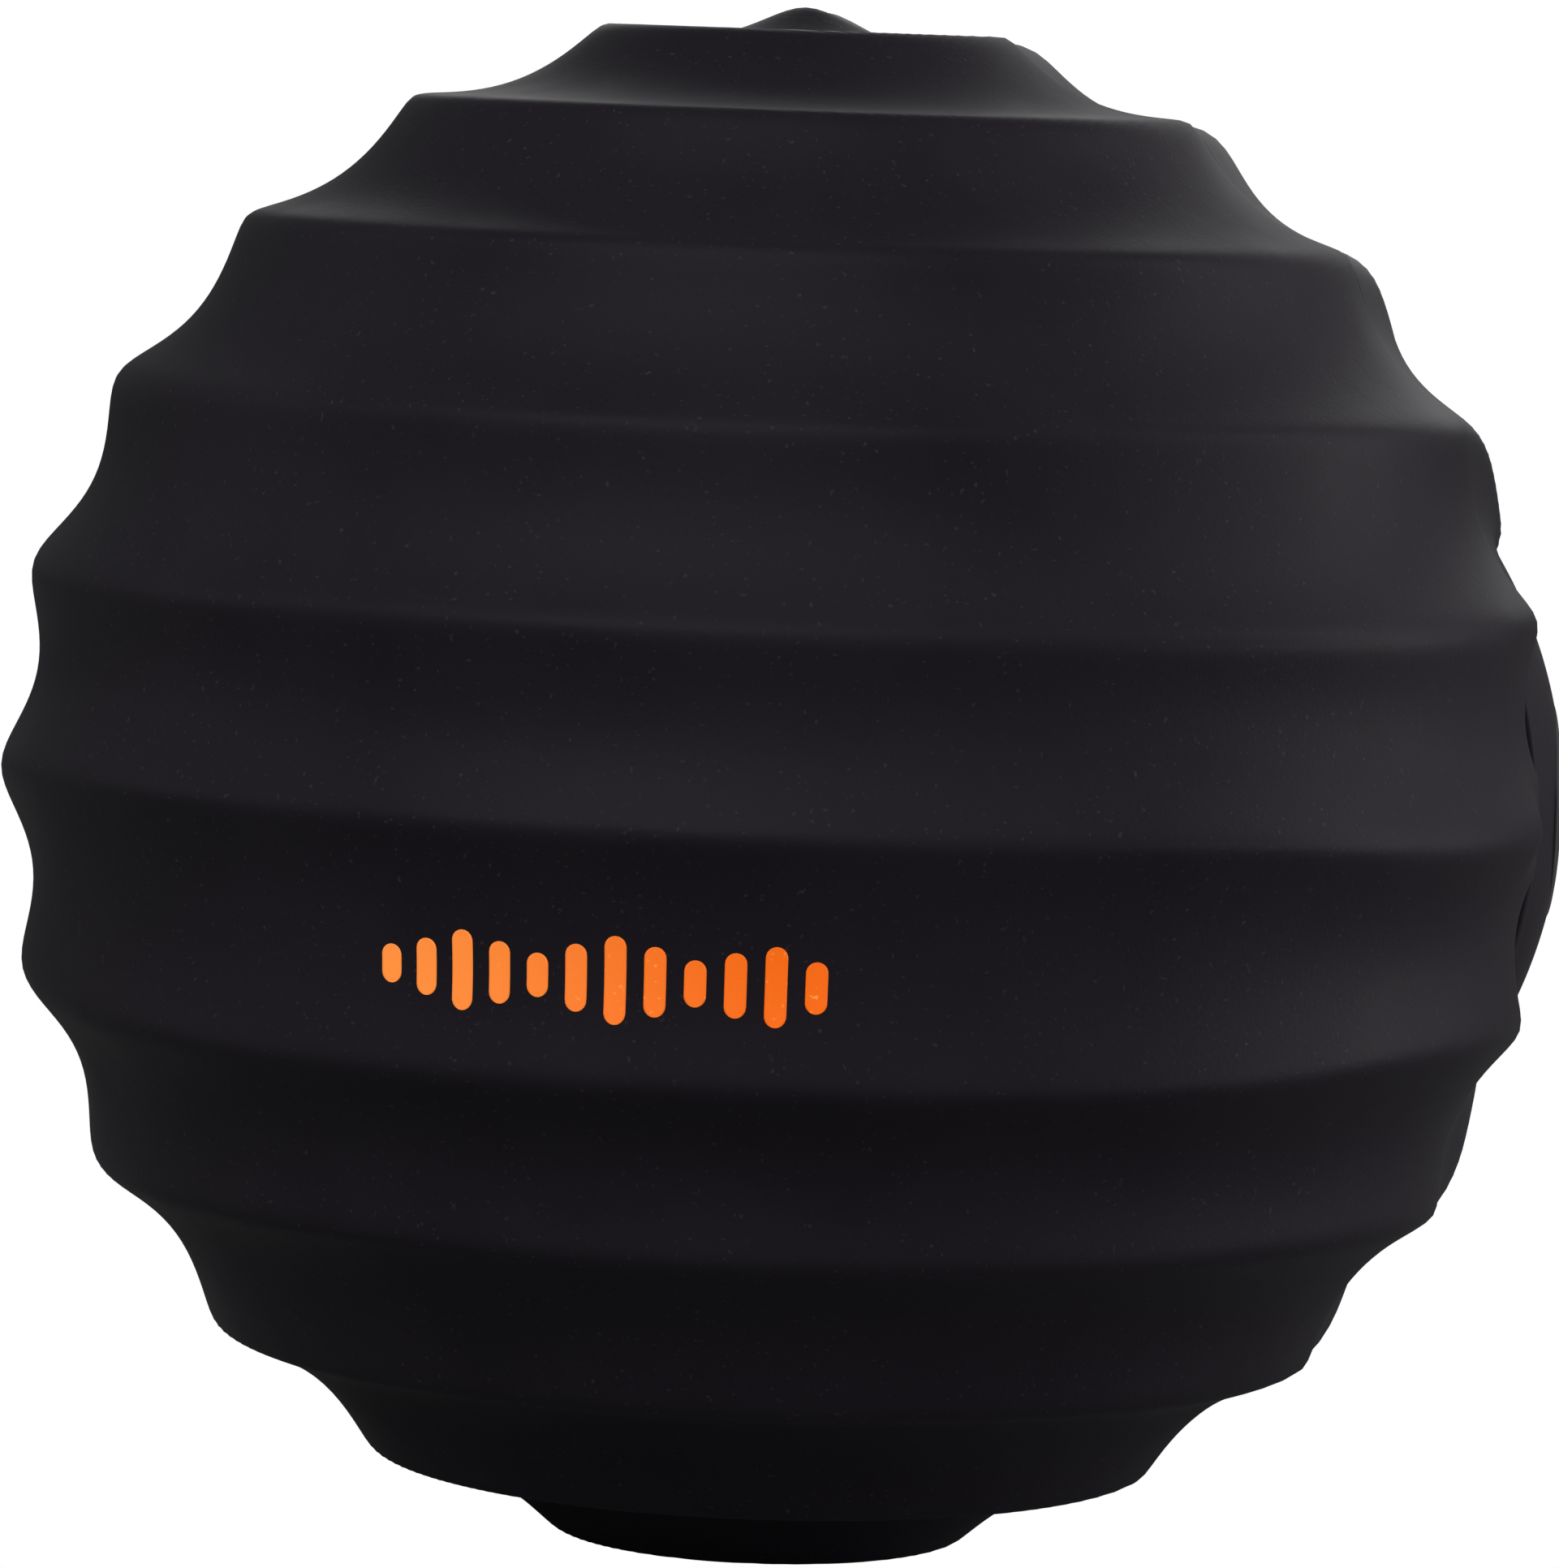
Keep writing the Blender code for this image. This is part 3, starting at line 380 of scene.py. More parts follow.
def make_rear_skin():
    rows = cover_rows(rear_radius, REAR)
    skin = new_piece("rear_skin", closed_rows("rear_skin", rows))
    button_side = [(BUTTON_HOLE, 0, 0, HOLE_FROM, HOLE_TO)]
    for x, y in light_places():
        button_side.append((LIGHT_HOLE, x, y, HOLE_FROM, HOLE_TO))
    port_side = [(PORT_HOLE, 0, 0, HOLE_FROM, HOLE_TO)]
    cut(skin, cylinder_mesh("button_side_cut", button_side, BUTTON_FRAME))
    cut(skin, cylinder_mesh("port_side_cut", port_side, PORT_FRAME))
    smooth(skin.data, 45)
    ridge_shade(skin.data)
    return skin


def light_places():
    """Where the CAD has each level light, seen along the button's axis."""
    places = []
    for number in range(1, LIGHT_COUNT + 1):
        low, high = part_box(f"led_{number}")
        centre = (Vector(low) + Vector(high)) / 2
        local = BUTTON_FRAME.inverted() @ centre
        places.append((local.x, local.y))
    return places


# ---------------------------------------------------------------- print

# The print is a row of rounded upright bars, like a level meter, just below the equator.
BAR_COUNT = 12
BAR_WIDTH = 1.7 * MM
PRINT_START = math.radians(-16.6)
PRINT_END = math.radians(14.9)
PRINT_LATITUDE = math.radians(-9.2)
BAR_HEIGHTS = (3.0, 4.4, 6.2, 4.8, 3.4, 5.2, 6.8, 5.4, 3.6, 5.0, 6.2, 4.0)
PRINT_LIFT = 0.05 * MM
BAR_SLICES = 18
BAR_LAYERS = 8


def print_point(azimuth, latitude, lift):
    """A point over the front cover; azimuth 0 is straight ahead, and grows towards +X."""
    heading = np.array([math.cos(latitude) * math.sin(azimuth),
                        -math.cos(latitude) * math.cos(azimuth), math.sin(latitude)])
    return heading * (front_radius(heading) + lift)


def add_bar(bm, azimuth, height):
    """One rounded bar as a thin film that follows the ridge under it."""
    half = BAR_WIDTH / 2
    straight = max(0.0, height / 2 - half)
    rows = []
    for i in range(BAR_SLICES + 1):
        share = -math.cos(math.pi * i / BAR_SLICES)
        up = share * (straight + half)
        beyond = max(0.0, abs(up) - straight)
        wide = math.sqrt(max(0.0, half * half - beyond * beyond))
        row = []
        for j in range(BAR_LAYERS + 1):
            side = (2 * j / BAR_LAYERS - 1) * wide
            spot = (azimuth + side / (BALL * math.cos(PRINT_LATITUDE)),
                    PRINT_LATITUDE + up / BALL)
            row.append(spot)
        rows.append(row)
    top = [[bm.verts.new(print_point(*spot, PRINT_LIFT)) for spot in row] for row in rows]
    base = [[bm.verts.new(print_point(*spot, -PRINT_LIFT)) for spot in row] for row in rows]
    for i in range(BAR_SLICES):
        for j in range(BAR_LAYERS):
            bm.faces.new((top[i][j], top[i][j + 1], top[i + 1][j + 1], top[i + 1][j]))
            bm.faces.new((base[i][j], base[i + 1][j], base[i + 1][j + 1], base[i][j + 1]))
        for j in (0, BAR_LAYERS):
            bm.faces.new((top[i][j], base[i][j], base[i + 1][j], top[i + 1][j]))
    for i in (0, BAR_SLICES):
        for j in range(BAR_LAYERS):
            bm.faces.new((top[i][j], base[i][j], base[i][j + 1], top[i][j + 1]))


def make_print():
    bm = bmesh.new()
    for number in range(BAR_COUNT):
        share = number / (BAR_COUNT - 1)
        add_bar(bm, PRINT_START + (PRINT_END - PRINT_START) * share, BAR_HEIGHTS[number] * MM)
    bmesh.ops.remove_doubles(bm, verts=bm.verts, dist=0.000002)
    bmesh.ops.recalc_face_normals(bm, faces=bm.faces)
    mesh = bpy.data.meshes.new("front_print")
    bm.to_mesh(mesh)
    bm.free()
    mesh.shade_smooth()
    return new_piece("front_print", mesh)


# ---------------------------------------------------------------- small pieces


def dome(radius, reach, count=12):
    """The outline of a spherical cap of that radius, from its middle out to reach."""
    points = []
    for i in range(count + 1):
        across = reach * i / count
        points.append((across, math.sqrt(radius * radius - across * across)))
    return points


def make_seam_gasket():
    body = 1.2 * MM
    flange = 0.5 * MM
    inner = 53.0 * MM
    step = 55.1 * MM
    outer = 59.2 * MM
    outline = [(inner, body), (step, body), (step, flange), (outer - 0.3 * MM, flange),
               (outer, 0.5 * flange), (outer, -0.5 * flange), (outer - 0.3 * MM, -flange),
               (step, -flange), (step, -body), (inner, -body)]
    return turned("seam_gasket", outline, FRONT, steps=240, closed=True)


def make_button_cap():
    """A softly dished cap with its flange and plunger."""
    reach = 6.6 * MM
    dish = []
    for across, height in dome(BUTTON_TOP, 5.6 * MM, 16):
        sink = 0.35 * MM * smooth_step(1 - across / (5.2 * MM))
        dish.append((across, height - float(sink)))
    side = [(6.3 * MM, 61.5 * MM), (6.53 * MM, 61.3 * MM), (reach, 61.0 * MM), (reach, 53.6 * MM),
            (7.6 * MM, 53.6 * MM), (7.6 * MM, 52.5 * MM), (2 * MM, 52.5 * MM), (2 * MM, 52 * MM),
            (0.0, 52 * MM)]
    return turned("button_cap", dish + side, BUTTON_FRAME)


def make_power_icon():
    """The common power symbol as a raised line: an open ring with a short bar in its gap."""
    lift = BUTTON_TOP - 0.34 * MM
    ring = 2.1 * MM
    gap = math.radians(38.0)
    curve = bpy.data.curves.new("power_icon", "CURVE")
    curve.dimensions = "3D"
    curve.bevel_depth = 0.17 * MM
    curve.bevel_resolution = 3
    curve.use_fill_caps = True
    steps = 40
    arc = []
    for i in range(steps + 1):
        angle = gap + (math.tau - 2 * gap) * i / steps
        arc.append((ring * math.sin(angle), ring * math.cos(angle)))
    bar = [(0.0, 0.6 * MM), (0.0, 1.6 * MM), (0.0, 2.7 * MM)]
    for stroke in (arc, bar):
        spline = curve.splines.new("POLY")
        spline.points.add(len(stroke) - 1)
        for knot, (x, y) in zip(spline.points, stroke):
            rise = 0.1 * MM * (math.hypot(x, y) / ring) ** 2
            knot.co = (*(BUTTON_FRAME @ Vector((x, y, lift + rise))), 1.0)
    icon = bpy.data.objects.new("power_icon", curve)
    bpy.context.scene.collection.objects.link(icon)
    return icon


def make_button_ring():
    """Moulded bezel with a lip that covers the edge of the hole in the silicone."""
    inner = 6.9 * MM
    outline = [(inner, 57.8 * MM), (inner, 61.35 * MM), (7.15 * MM, 61.72 * MM),
               (7.9 * MM, 61.8 * MM), (8.8 * MM, 61.62 * MM), (9.3 * MM, 61.3 * MM),
               (9.3 * MM, 61.15 * MM), (8.4 * MM, 61.1 * MM), (8.4 * MM, 57.8 * MM)]
    return turned("button_ring", outline, BUTTON_FRAME, closed=True)


def make_level_lights():
    pieces = []
    for number, (x, y) in enumerate(light_places(), start=1):
        tip = node_reach(f"led_{number}", BUTTON_OUT)
        outline = [(0.0, tip + 0.05 * MM), (0.5 * MM, tip), (0.95 * MM, tip - 0.3 * MM),
                   (1.2 * MM, tip - 0.8 * MM), (1.2 * MM, 49 * MM), (1.6 * MM, 48.8 * MM),
                   (1.6 * MM, 47.1 * MM), (0.0, 47.1 * MM)]
        place = BUTTON_FRAME @ Matrix.Translation((x, y, 0.0))
        pieces.append(turned(f"level_light_{number}", outline, place, steps=32))
    return pieces


def node_reach(node, direction):
    """How far a CAD node reaches along a direction from the ball's centre."""
    mesh = frame["nodes"][node].data
    return max(vert.co.dot(direction) for vert in mesh.vertices)


def make_plug_cap():
    """Rubber plug: a domed lid with a thumb notch and a raised rim; its stub for the socket is made on its own."""
    outline = dome(BUTTON_TOP, 5.9 * MM, 14)
    outline += [(6.3 * MM, 61.62 * MM), (6.75 * MM, 61.5 * MM), (7.0 * MM, 61.3 * MM),
                (6.85 * MM, 61.05 * MM), (5.6 * MM, 60.15 * MM), (5.3 * MM, 60.0 * MM),
                (0.0, 60.0 * MM)]
    plug = turned("plug_cap", outline, PORT_FRAME)
    notch = cylinder_mesh("thumb_notch", [(2.2 * MM, -8.3 * MM, 0, 60.9 * MM, 64 * MM)],
                          PORT_FRAME, 48)
    cut(plug, notch)
    smooth(plug.data)
    return plug


def make_plug_stub():
    bm = bmesh.new()
    size = Matrix.Diagonal((1.9 * MM, 7.6 * MM, 1.1 * MM, 1.0))
    place = PORT_FRAME @ Matrix.Translation((0, 0, 59.85 * MM))
    bmesh.ops.create_cube(bm, size=1.0, matrix=place @ size)
    upright = [edge for edge in bm.edges
               if abs((edge.verts[0].co - edge.verts[1].co).normalized().dot(PORT_OUT)) > 0.9]
    bmesh.ops.bevel(bm, geom=upright, offset=0.8 * MM, segments=6, affect="EDGES",
                    profile=0.5)
    mesh = bpy.data.meshes.new("plug_stub")
    bm.to_mesh(mesh)
    bm.free()
    smooth(mesh)
    return new_piece("plug_stub", mesh)


def make_port_ring():
    """Dished bezel round the charging socket, with a slot for its mouth."""
    outline = rounded([(0.0, 59.55 * MM), (5.0 * MM, 59.5 * MM), (6.6 * MM, 59.75 * MM),
                       (7.2 * MM, 59.7 * MM), (7.2 * MM, 57.8 * MM), (0.0, 57.8 * MM)], 0.25 * MM)
    ring = turned("port_ring", outline, PORT_FRAME)
    bm = bmesh.new()
    size = Matrix.Diagonal((4.2 * MM, 9.8 * MM, 6 * MM, 1.0))
    bmesh.ops.create_cube(bm, size=1.0,
                          matrix=PORT_FRAME @ Matrix.Translation((0, 0, 58.5 * MM)) @ size)
    upright = [edge for edge in bm.edges
               if abs((edge.verts[0].co - edge.verts[1].co).normalized().dot(PORT_OUT)) > 0.9]
    bmesh.ops.bevel(bm, geom=upright, offset=1.9 * MM, segments=8, affect="EDGES", profile=0.5)
    mesh = bpy.data.meshes.new("port_slot")
    bm.to_mesh(mesh)
    bm.free()
    cut(ring, mesh)
    smooth(ring.data)
    return ring


# ---------------------------------------------------------------- materials


class Surface:
    """A material and short calls for the nodes that it is made of."""

    def __init__(self, name, roughness, metallic=0.0, specular=0.5):
        self.material = bpy.data.materials.new(name)
        self.material.use_nodes = True
        self.nodes = self.material.node_tree.nodes
        self.links = self.material.node_tree.links
        self.shader = self.nodes["Principled BSDF"]
        self.shader.inputs["Roughness"].default_value = roughness
        self.shader.inputs["Metallic"].default_value = metallic
        self.shader.inputs["Specular IOR Level"].default_value = specular
        self.coords = self.nodes.new("ShaderNodeTexCoord").outputs["Object"]

    def stretched(self, scale):
        mapping = self.nodes.new("ShaderNodeMapping")
        mapping.inputs["Scale"].default_value = scale
        self.links.new(self.coords, mapping.inputs["Vector"])
        return mapping.outputs["Vector"]

    def noise(self, scale, detail=3.0, roughness=0.55, vector=None):
        node = self.nodes.new("ShaderNodeTexNoise")
        node.inputs["Scale"].default_value = scale
        node.inputs["Detail"].default_value = detail
        node.inputs["Roughness"].default_value = roughness
        self.links.new(vector or self.coords, node.inputs["Vector"])
        return node.outputs["Fac"]

    def cells(self, scale, vector=None):
        node = self.nodes.new("ShaderNodeTexVoronoi")
        node.inputs["Scale"].default_value = scale
        self.links.new(vector or self.coords, node.inputs["Vector"])
        return node.outputs["Distance"]

    def spread(self, value, low, high, to_low=0.0, to_high=1.0):
        node = self.nodes.new("ShaderNodeMapRange")
        node.interpolation_type = "SMOOTHSTEP"
        for socket, number in (("From Min", low), ("From Max", high),
                               ("To Min", to_low), ("To Max", to_high)):
            node.inputs[socket].default_value = number
        self.links.new(value, node.inputs["Value"])
        return node.outputs["Result"]

    def math(self, operation, first, second):
        node = self.nodes.new("ShaderNodeMath")
        node.operation = operation
        for socket, value in zip(node.inputs, (first, second)):
            if isinstance(value, (int, float)):
                socket.default_value = value
            else:
                self.links.new(value, socket)
        return node.outputs["Value"]

    def axis(self, name):
        node = self.nodes.new("ShaderNodeSeparateXYZ")
        self.links.new(self.coords, node.inputs["Vector"])
        return node.outputs[name]

    def attribute(self, name):
        node = self.nodes.new("ShaderNodeAttribute")
        node.attribute_name = name
        return node.outputs["Fac"]

    def blend(self, share, first, second):
        """Mix two colours; each is a colour or another node's output."""
        node = self.nodes.new("ShaderNodeMix")
        node.data_type = "RGBA"
        self.links.new(share, node.inputs[0])
        for socket, value in ((node.inputs[6], first), (node.inputs[7], second)):
            if isinstance(value, tuple):
                socket.default_value = (*value, 1.0)
            else:
                self.links.new(value, socket)
        return node.outputs[2]

    def colour(self, output):
        self.links.new(output, self.shader.inputs["Base Color"])

    def rough(self, output):
        self.links.new(output, self.shader.inputs["Roughness"])

    def bump(self, height, distance, strength=1.0, under=None):
        node = self.nodes.new("ShaderNodeBump")
        node.inputs["Distance"].default_value = distance
        node.inputs["Strength"].default_value = strength
        self.links.new(height, node.inputs["Height"])
        if under is not None:
            self.links.new(under, node.inputs["Normal"])
        return node.outputs["Normal"]

    def finish(self, normal):
        self.links.new(normal, self.shader.inputs["Normal"])
        return self.material


def silicone(name, dark, light, speck):
    """Matt moulded silicone: fine grain, faint cloudy tone, light dust specks, polished crests."""
    surface = Surface(name, 0.5, specular=0.09)
    surface.shader.inputs["Specular Tint"].default_value = (1.0, 0.86, 1.02, 1.0)
    cloud = surface.noise(45.0, 4.0)
    grain = surface.noise(2600.0, 2.0)
    dust = surface.noise(2300.0, 1.0)
    tone = surface.blend(surface.spread(cloud, 0.3, 0.7), dark, light)
    specks = surface.spread(dust, 0.66, 0.80)
    surface.colour(surface.blend(specks, tone, speck))
    handled = surface.attribute("ridge")
    matt = surface.spread(cloud, 0.3, 0.7, 0.50, 0.60)
    surface.rough(surface.math("SUBTRACT", matt, surface.math("MULTIPLY", handled, 0.05)))
    coarse = surface.bump(surface.noise(420.0, 3.0), 0.03 * MM, 0.5)
    return surface.finish(surface.bump(grain, 0.03 * MM, 0.6, coarse))


def ink(name, left, right):
    """Printed ink that deepens from the left of the mark to its right, with painted light: it glows a little, as
    if more brightly lit.
    """
    surface = Surface(name, 0.42, specular=0.30)
    across = surface.spread(surface.axis("X"), -0.024, 0.016)
    patch = surface.spread(surface.noise(120.0, 3.0), 0.35, 0.65)
    worn = surface.spread(surface.noise(1900.0, 2.0), 0.64, 0.76)
    tone = surface.blend(worn, surface.blend(across, left, right), left)
    surface.colour(tone)
    surface.rough(surface.spread(patch, 0.0, 1.0, 0.38, 0.48))
    # Painted light: the ink's colour is also emitted, so the print looks more brightly lit than the lamps alone
    # make it.
    surface.links.new(tone, surface.shader.inputs["Emission Color"])
    surface.shader.inputs["Emission Strength"].default_value = 0.46
    return surface.finish(surface.bump(surface.noise(2400.0, 2.0), 0.02 * MM, 0.5))


def plastic(name, dark, light, roughness, grain=900.0, depth=0.02):
    """Moulded plastic with a spark-eroded texture."""
    surface = Surface(name, roughness)
    cloud = surface.noise(60.0, 4.0)
    surface.colour(surface.blend(surface.spread(cloud, 0.35, 0.65), dark, light))
    surface.rough(surface.spread(cloud, 0.3, 0.7, roughness - 0.05, roughness + 0.07))
    return surface.finish(surface.bump(surface.noise(grain, 3.0), depth * MM, 0.7))


def metal(name, dark, light, roughness, stretch=(60.0, 60.0, 900.0)):
    """Plated or machined metal with fine lines along one direction."""
    surface = Surface(name, roughness, metallic=1.0)
    lines = surface.noise(1.0, 3.0, vector=surface.stretched(stretch))
    stain = surface.noise(80.0, 4.0)
    surface.colour(surface.blend(surface.spread(stain, 0.3, 0.7), dark, light))
    surface.rough(surface.spread(lines, 0.3, 0.7, roughness - 0.08, roughness + 0.1))
    return surface.finish(surface.bump(lines, 0.01 * MM, 0.6))


def rubber(name, dark, light):
    surface = Surface(name, 0.7, specular=0.3)
    bloom = surface.noise(90.0, 5.0)
    surface.colour(surface.blend(surface.spread(bloom, 0.35, 0.7), dark, light))
    surface.rough(surface.spread(bloom, 0.3, 0.7, 0.62, 0.8))
    return surface.finish(surface.bump(surface.noise(1300.0, 3.0), 0.03 * MM, 0.7))


def shrink_wrap(name, colour, faded):
    """Thin printed film drawn tight round a cell, with fine rings where it shrank."""
    surface = Surface(name, 0.3)
    surface.shader.inputs["Coat Weight"].default_value = 0.4
    surface.shader.inputs["Coat Roughness"].default_value = 0.15
    rings = surface.noise(1.0, 2.0, vector=surface.stretched((20.0, 20.0, 420.0)))
    surface.colour(surface.blend(surface.spread(rings, 0.35, 0.65), colour, faded))
    return surface.finish(surface.bump(rings, 0.05 * MM, 0.4))


def circuit_board(name, mask, copper):
    """Green solder mask with slightly raised copper tracks under it."""
    surface = Surface(name, 0.35)
    cells = surface.nodes.new("ShaderNodeTexBrick")
    cells.inputs["Scale"].default_value = 260.0
    cells.inputs["Mortar Size"].default_value = 0.06
    surface.links.new(surface.coords, cells.inputs["Vector"])
    tracks = surface.spread(cells.outputs["Fac"], 0.2, 0.6)
    surface.colour(surface.blend(tracks, mask, copper))
    weave = surface.noise(1500.0, 2.0)
    surface.rough(surface.spread(weave, 0.3, 0.7, 0.28, 0.42))
    return surface.finish(surface.bump(tracks, 0.03 * MM, 0.5))


def copper_winding(name, bright, dark):
    """Enamelled wire laid in turns."""
    surface = Surface(name, 0.35, metallic=0.9)
    wave = surface.nodes.new("ShaderNodeTexWave")
    wave.bands_direction = "Z"
    wave.inputs["Scale"].default_value = 320.0
    wave.inputs["Distortion"].default_value = 0.6
    surface.links.new(surface.coords, wave.inputs["Vector"])
    surface.colour(surface.blend(wave.outputs["Fac"], dark, bright))
    surface.rough(surface.spread(surface.noise(200.0), 0.3, 0.7, 0.28, 0.45))
    return surface.finish(surface.bump(wave.outputs["Fac"], 0.2 * MM, 0.8))


def ferrite(name, dark, light):
    surface = Surface(name, 0.55, metallic=0.2)
    pits = surface.cells(700.0)
    surface.colour(surface.blend(surface.spread(pits, 0.1, 0.7), dark, light))
    surface.rough(surface.spread(surface.noise(300.0), 0.3, 0.7, 0.45, 0.7))
    return surface.finish(surface.bump(pits, 0.05 * MM, 0.5))


def diffuser(name, colour, edge):
    """Milky lens of a level light."""
    surface = Surface(name, 0.25)
    surface.shader.inputs["Subsurface Weight"].default_value = 0.4
    surface.shader.inputs["Subsurface Radius"].default_value = (0.001, 0.001, 0.001)
    haze = surface.noise(500.0, 3.0)
    surface.colour(surface.blend(surface.spread(haze, 0.3, 0.7), colour, edge))
    surface.rough(surface.spread(haze, 0.3, 0.7, 0.2, 0.34))
    return surface.finish(surface.bump(haze, 0.02 * MM, 0.4))


def make_materials():
    """Every material, by the record's material slot where it has one."""
    black = (0.0122, 0.0108, 0.0143)
    black_light = (0.0154, 0.0138, 0.0176)
    speck = (0.034, 0.030, 0.037)
    return {
        "silicone_front": silicone("silicone_front", black, black_light, speck),
        "silicone_rear": silicone("silicone_rear", black, black_light, speck),
        "ink": ink("orange_ink", (1.0, 0.285, 0.050), (0.90, 0.138, 0.002)),
        "housing": plastic("housing_plastic", (0.010, 0.010, 0.011), (0.016, 0.016, 0.018), 0.42),
        "gasket": rubber("gasket_rubber", (0.0035, 0.0035, 0.0038), (0.007, 0.007, 0.0075)),
        "chassis": plastic("chassis_plastic", (0.07, 0.07, 0.076), (0.10, 0.10, 0.11), 0.5, 700.0),
        "screw_steel": metal("zinc_steel", (0.42, 0.42, 0.44), (0.6, 0.6, 0.62), 0.32),
        "motor_steel": metal("motor_can_steel", (0.36, 0.36, 0.37), (0.5, 0.5, 0.51), 0.36),
        "nickel": metal("nickel_plate", (0.52, 0.50, 0.45), (0.68, 0.66, 0.6), 0.28,
                        (400.0, 30.0, 30.0)),
        "weight": metal("turned_brass", (0.42, 0.30, 0.12), (0.62, 0.47, 0.22), 0.3),
        "magnet": ferrite("ferrite", (0.035, 0.035, 0.036), (0.07, 0.07, 0.072)),
        "winding": copper_winding("copper_winding", (0.55, 0.22, 0.08), (0.16, 0.05, 0.02)),
        "damper": rubber("damper_rubber", (0.012, 0.012, 0.013), (0.022, 0.022, 0.024)),
        "cell_wrap": shrink_wrap("cell_wrap", (0.02, 0.10, 0.34), (0.04, 0.15, 0.42)),
        "board": circuit_board("board_mask", (0.006, 0.07, 0.03), (0.02, 0.16, 0.05)),
        "chip": plastic("chip_epoxy", (0.012, 0.012, 0.012), (0.022, 0.022, 0.023), 0.5, 1600.0),
        "lens": diffuser("lens_diffuser", (0.62, 0.64, 0.66), (0.78, 0.79, 0.8)),
        "button": plastic("button_plastic", (0.014, 0.014, 0.015), (0.02, 0.02, 0.022), 0.34,
                          1500.0, 0.012),
        "icon": plastic("icon_paint", (0.42, 0.42, 0.43), (0.55, 0.55, 0.56), 0.4, 1500.0, 0.01),
        "wire_red": rubber("red_insulation", (0.26, 0.012, 0.012), (0.38, 0.03, 0.025)),
        "wire_black": rubber("black_insulation", (0.010, 0.010, 0.011), (0.02, 0.02, 0.021)),
    }


# ---------------------------------------------------------------- assembly


def dress(piece, material, body="ball", stands_for=()):
    """Give a piece its material, the body it moves with and the CAD nodes it stands for."""
    piece.data.materials.clear()
    piece.data.materials.append(material)
    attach(piece, body)
    if stands_for:
        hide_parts(*stands_for)


def build_object(materials):
    dress(make_front_skin(), materials["silicone_front"],
          stands_for=("front_cover",))
    dress(make_rear_skin(), materials["silicone_rear"],
          stands_for=("rear_cover",))
    dress(make_print(), materials["ink"])
    dress(make_seam_gasket(), materials["gasket"], stands_for=("seam_ring",))
    dress(make_button_cap(), materials["button"], "button", ("power_button",))
    dress(make_power_icon(), materials["icon"], "button")
    dress(make_button_ring(), materials["housing"], stands_for=("button_bezel",))
    dress(make_port_ring(), materials["housing"], stands_for=("port_bezel",))
    dress(make_plug_cap(), materials["silicone_rear"], "plug", ("port_plug",))
    dress(make_plug_stub(), materials["silicone_rear"], "plug")
    for number, light in enumerate(make_level_lights(), start=1):
        dress(light, materials["lens"], stands_for=(f"led_{number}",))
    for subpart in frame["record"]["subparts"]:
        mesh = frame["nodes"][subpart["node"]].data
        mesh.materials.clear()
        mesh.materials.append(materials[subpart["material_slot"]])


# ---------------------------------------------------------------- studio


def add_light(name, place, size, energy, colour=(1.0, 1.0, 1.0)):
    """A soft rectangular light that faces the ball's centre."""
    data = bpy.data.lights.new(name, "AREA")
    data.shape = "RECTANGLE"
    data.size, data.size_y = size
    data.energy = energy
    data.color = colour
    light = bpy.data.objects.new(name, data)
    bpy.context.scene.collection.objects.link(light)
    light.location = place
    light.rotation_euler = (-Vector(place)).to_track_quat("-Z", "Y").to_euler()


# The floor, and the background's strength as it lights the object and as the camera sees it.
FLOOR_HALF_SIZE = 30.0
FLOOR_GAP = 0.3 * MM
FLOOR_GREY = 0.25
DIM_STRENGTH = 0.16
WHITE_STRENGTH = 1.05


def make_floor():
    """A plain floor that shows white and throws little light back up."""
    bm = bmesh.new()
    bmesh.ops.create_grid(bm, x_segments=1, y_segments=1, size=FLOOR_HALF_SIZE)
    mesh = bpy.data.meshes.new("floor")
    bm.to_mesh(mesh)
    bm.free()
    floor = bpy.data.objects.new("floor", mesh)
    floor.location = (0.0, 0.0, cad_box[0][2] - FLOOR_GAP)
    bpy.context.scene.collection.objects.link(floor)
    material = bpy.data.materials.new("floor_white")
    material.use_nodes = True
    nodes = material.node_tree.nodes
    links = material.node_tree.links
    shader = nodes["Principled BSDF"]
    shader.inputs["Base Color"].default_value = (FLOOR_GREY, FLOOR_GREY, FLOOR_GREY, 1.0)
    shader.inputs["Roughness"].default_value = 0.9
    shader.inputs["Specular IOR Level"].default_value = 0.1
    glow = nodes.new("ShaderNodeEmission")
    glow.inputs["Color"].default_value = (1.0, 1.0, 1.0, 1.0)
    path = nodes.new("ShaderNodeLightPath")
    mix = nodes.new("ShaderNodeMixShader")
    links.new(path.outputs["Is Camera Ray"], mix.inputs[0])
    links.new(shader.outputs[0], mix.inputs[1])
    links.new(glow.outputs[0], mix.inputs[2])
    links.new(mix.outputs[0], nodes["Material Output"].inputs["Surface"])
    mesh.materials.append(material)


def make_world():
    """White behind the object, and a dim even light on it."""
    world = bpy.data.worlds.new("studio")
    bpy.context.scene.world = world
    world.use_nodes = True
    nodes = world.node_tree.nodes
    links = world.node_tree.links
    dim = nodes["Background"]
    dim.inputs["Color"].default_value = (0.97, 0.98, 1.0, 1.0)
    dim.inputs["Strength"].default_value = DIM_STRENGTH
    white = nodes.new("ShaderNodeBackground")
    white.inputs["Color"].default_value = (1.0, 1.0, 1.0, 1.0)
    white.inputs["Strength"].default_value = WHITE_STRENGTH
    path = nodes.new("ShaderNodeLightPath")
    mix = nodes.new("ShaderNodeMixShader")
    links.new(path.outputs["Is Camera Ray"], mix.inputs[0])
    links.new(dim.outputs[0], mix.inputs[1])
    links.new(white.outputs[0], mix.inputs[2])
    links.new(mix.outputs[0], nodes["World Output"].inputs["Surface"])


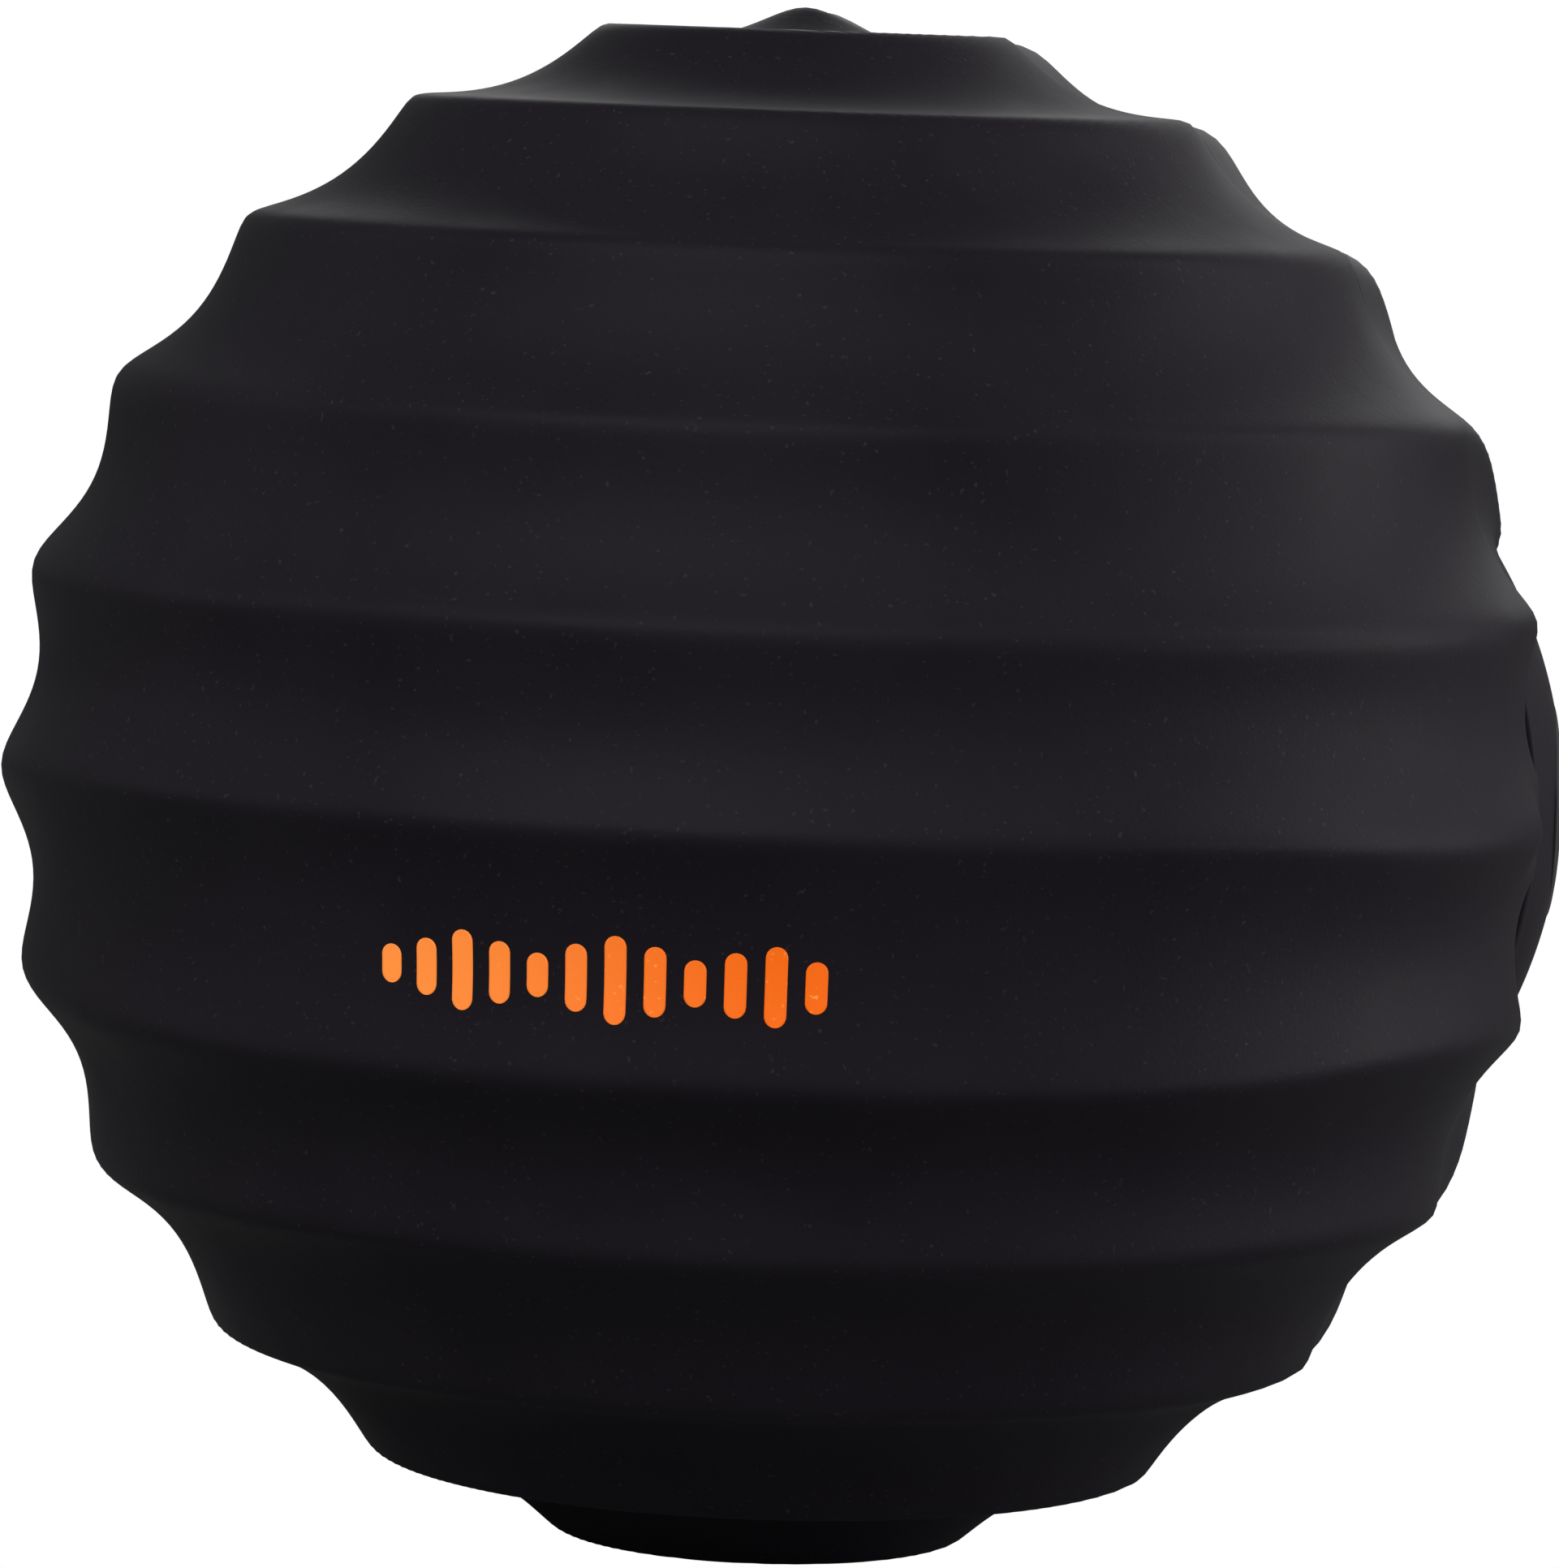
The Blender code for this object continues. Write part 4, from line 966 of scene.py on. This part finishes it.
def make_lights():
    add_light("key_front", (-0.10, -0.75, 0.75), (1.0, 0.8), 6.8)
    add_light("rim_right", (0.85, 0.35, 0.30), (0.5, 1.0), 4.5, (1.0, 0.98, 1.0))
    add_light("side_left", (-0.95, -0.10, 0.25), (0.4, 1.0), 0.8)
    add_light("low_right", (0.55, 0.0, -0.015), (0.5, 0.08), 0.55, (1.0, 0.96, 0.99))
    add_light("low_front", (0.10, -0.55, -0.015), (0.7, 0.08), 0.18)
    add_light("back_above", (0.0, 1.0, 0.45), (0.9, 0.6), 2.2)


# The view: a long lens, a little right of the front and above the equator, rolled slightly.
# BALL_SHARE is the ball's outline radius as a share of the frame's height.
VIEW_AZIMUTH = math.radians(12.0)
VIEW_ELEVATION = math.radians(5.0)
VIEW_ROLL = math.radians(2.0)
VIEW_DISTANCE = 11 * BALL
SENSOR = 36.0
BALL_SHARE = 0.4986
CENTRE_RIGHT = 0.0020
CENTRE_DOWN = 0.0008


def make_camera():
    """The lens is worked out so that the ball fills its share of the frame."""
    data = bpy.data.cameras.new("camera")
    data.sensor_fit = "VERTICAL"
    data.sensor_height = SENSOR
    outline = math.tan(math.asin(BALL / VIEW_DISTANCE))
    data.lens = BALL_SHARE * SENSOR / outline
    data.shift_x = -CENTRE_RIGHT
    data.shift_y = CENTRE_DOWN
    data.clip_start = 0.01
    camera = bpy.data.objects.new("camera", data)
    bpy.context.scene.collection.objects.link(camera)
    level = math.cos(VIEW_ELEVATION)
    outward = Vector((math.sin(VIEW_AZIMUTH) * level, -math.cos(VIEW_AZIMUTH) * level,
                      math.sin(VIEW_ELEVATION)))
    look = (-outward).to_track_quat("-Z", "Y").to_matrix().to_4x4()
    roll = Matrix.Rotation(VIEW_ROLL, 4, "Z")
    camera.matrix_world = Matrix.Translation(outward * VIEW_DISTANCE) @ look @ roll
    bpy.context.scene.camera = camera


def clear_defaults():
    """Remove the objects that a new Blender file starts with."""
    for name in ("Cube", "Light", "Camera"):
        obj = bpy.data.objects.get(name)
        if obj is not None:
            bpy.data.objects.remove(obj, do_unlink=True)


clear_defaults()
build_object(make_materials())
make_floor()
make_world()
make_lights()
make_camera()
bpy.context.scene.view_settings.view_transform = "Standard"
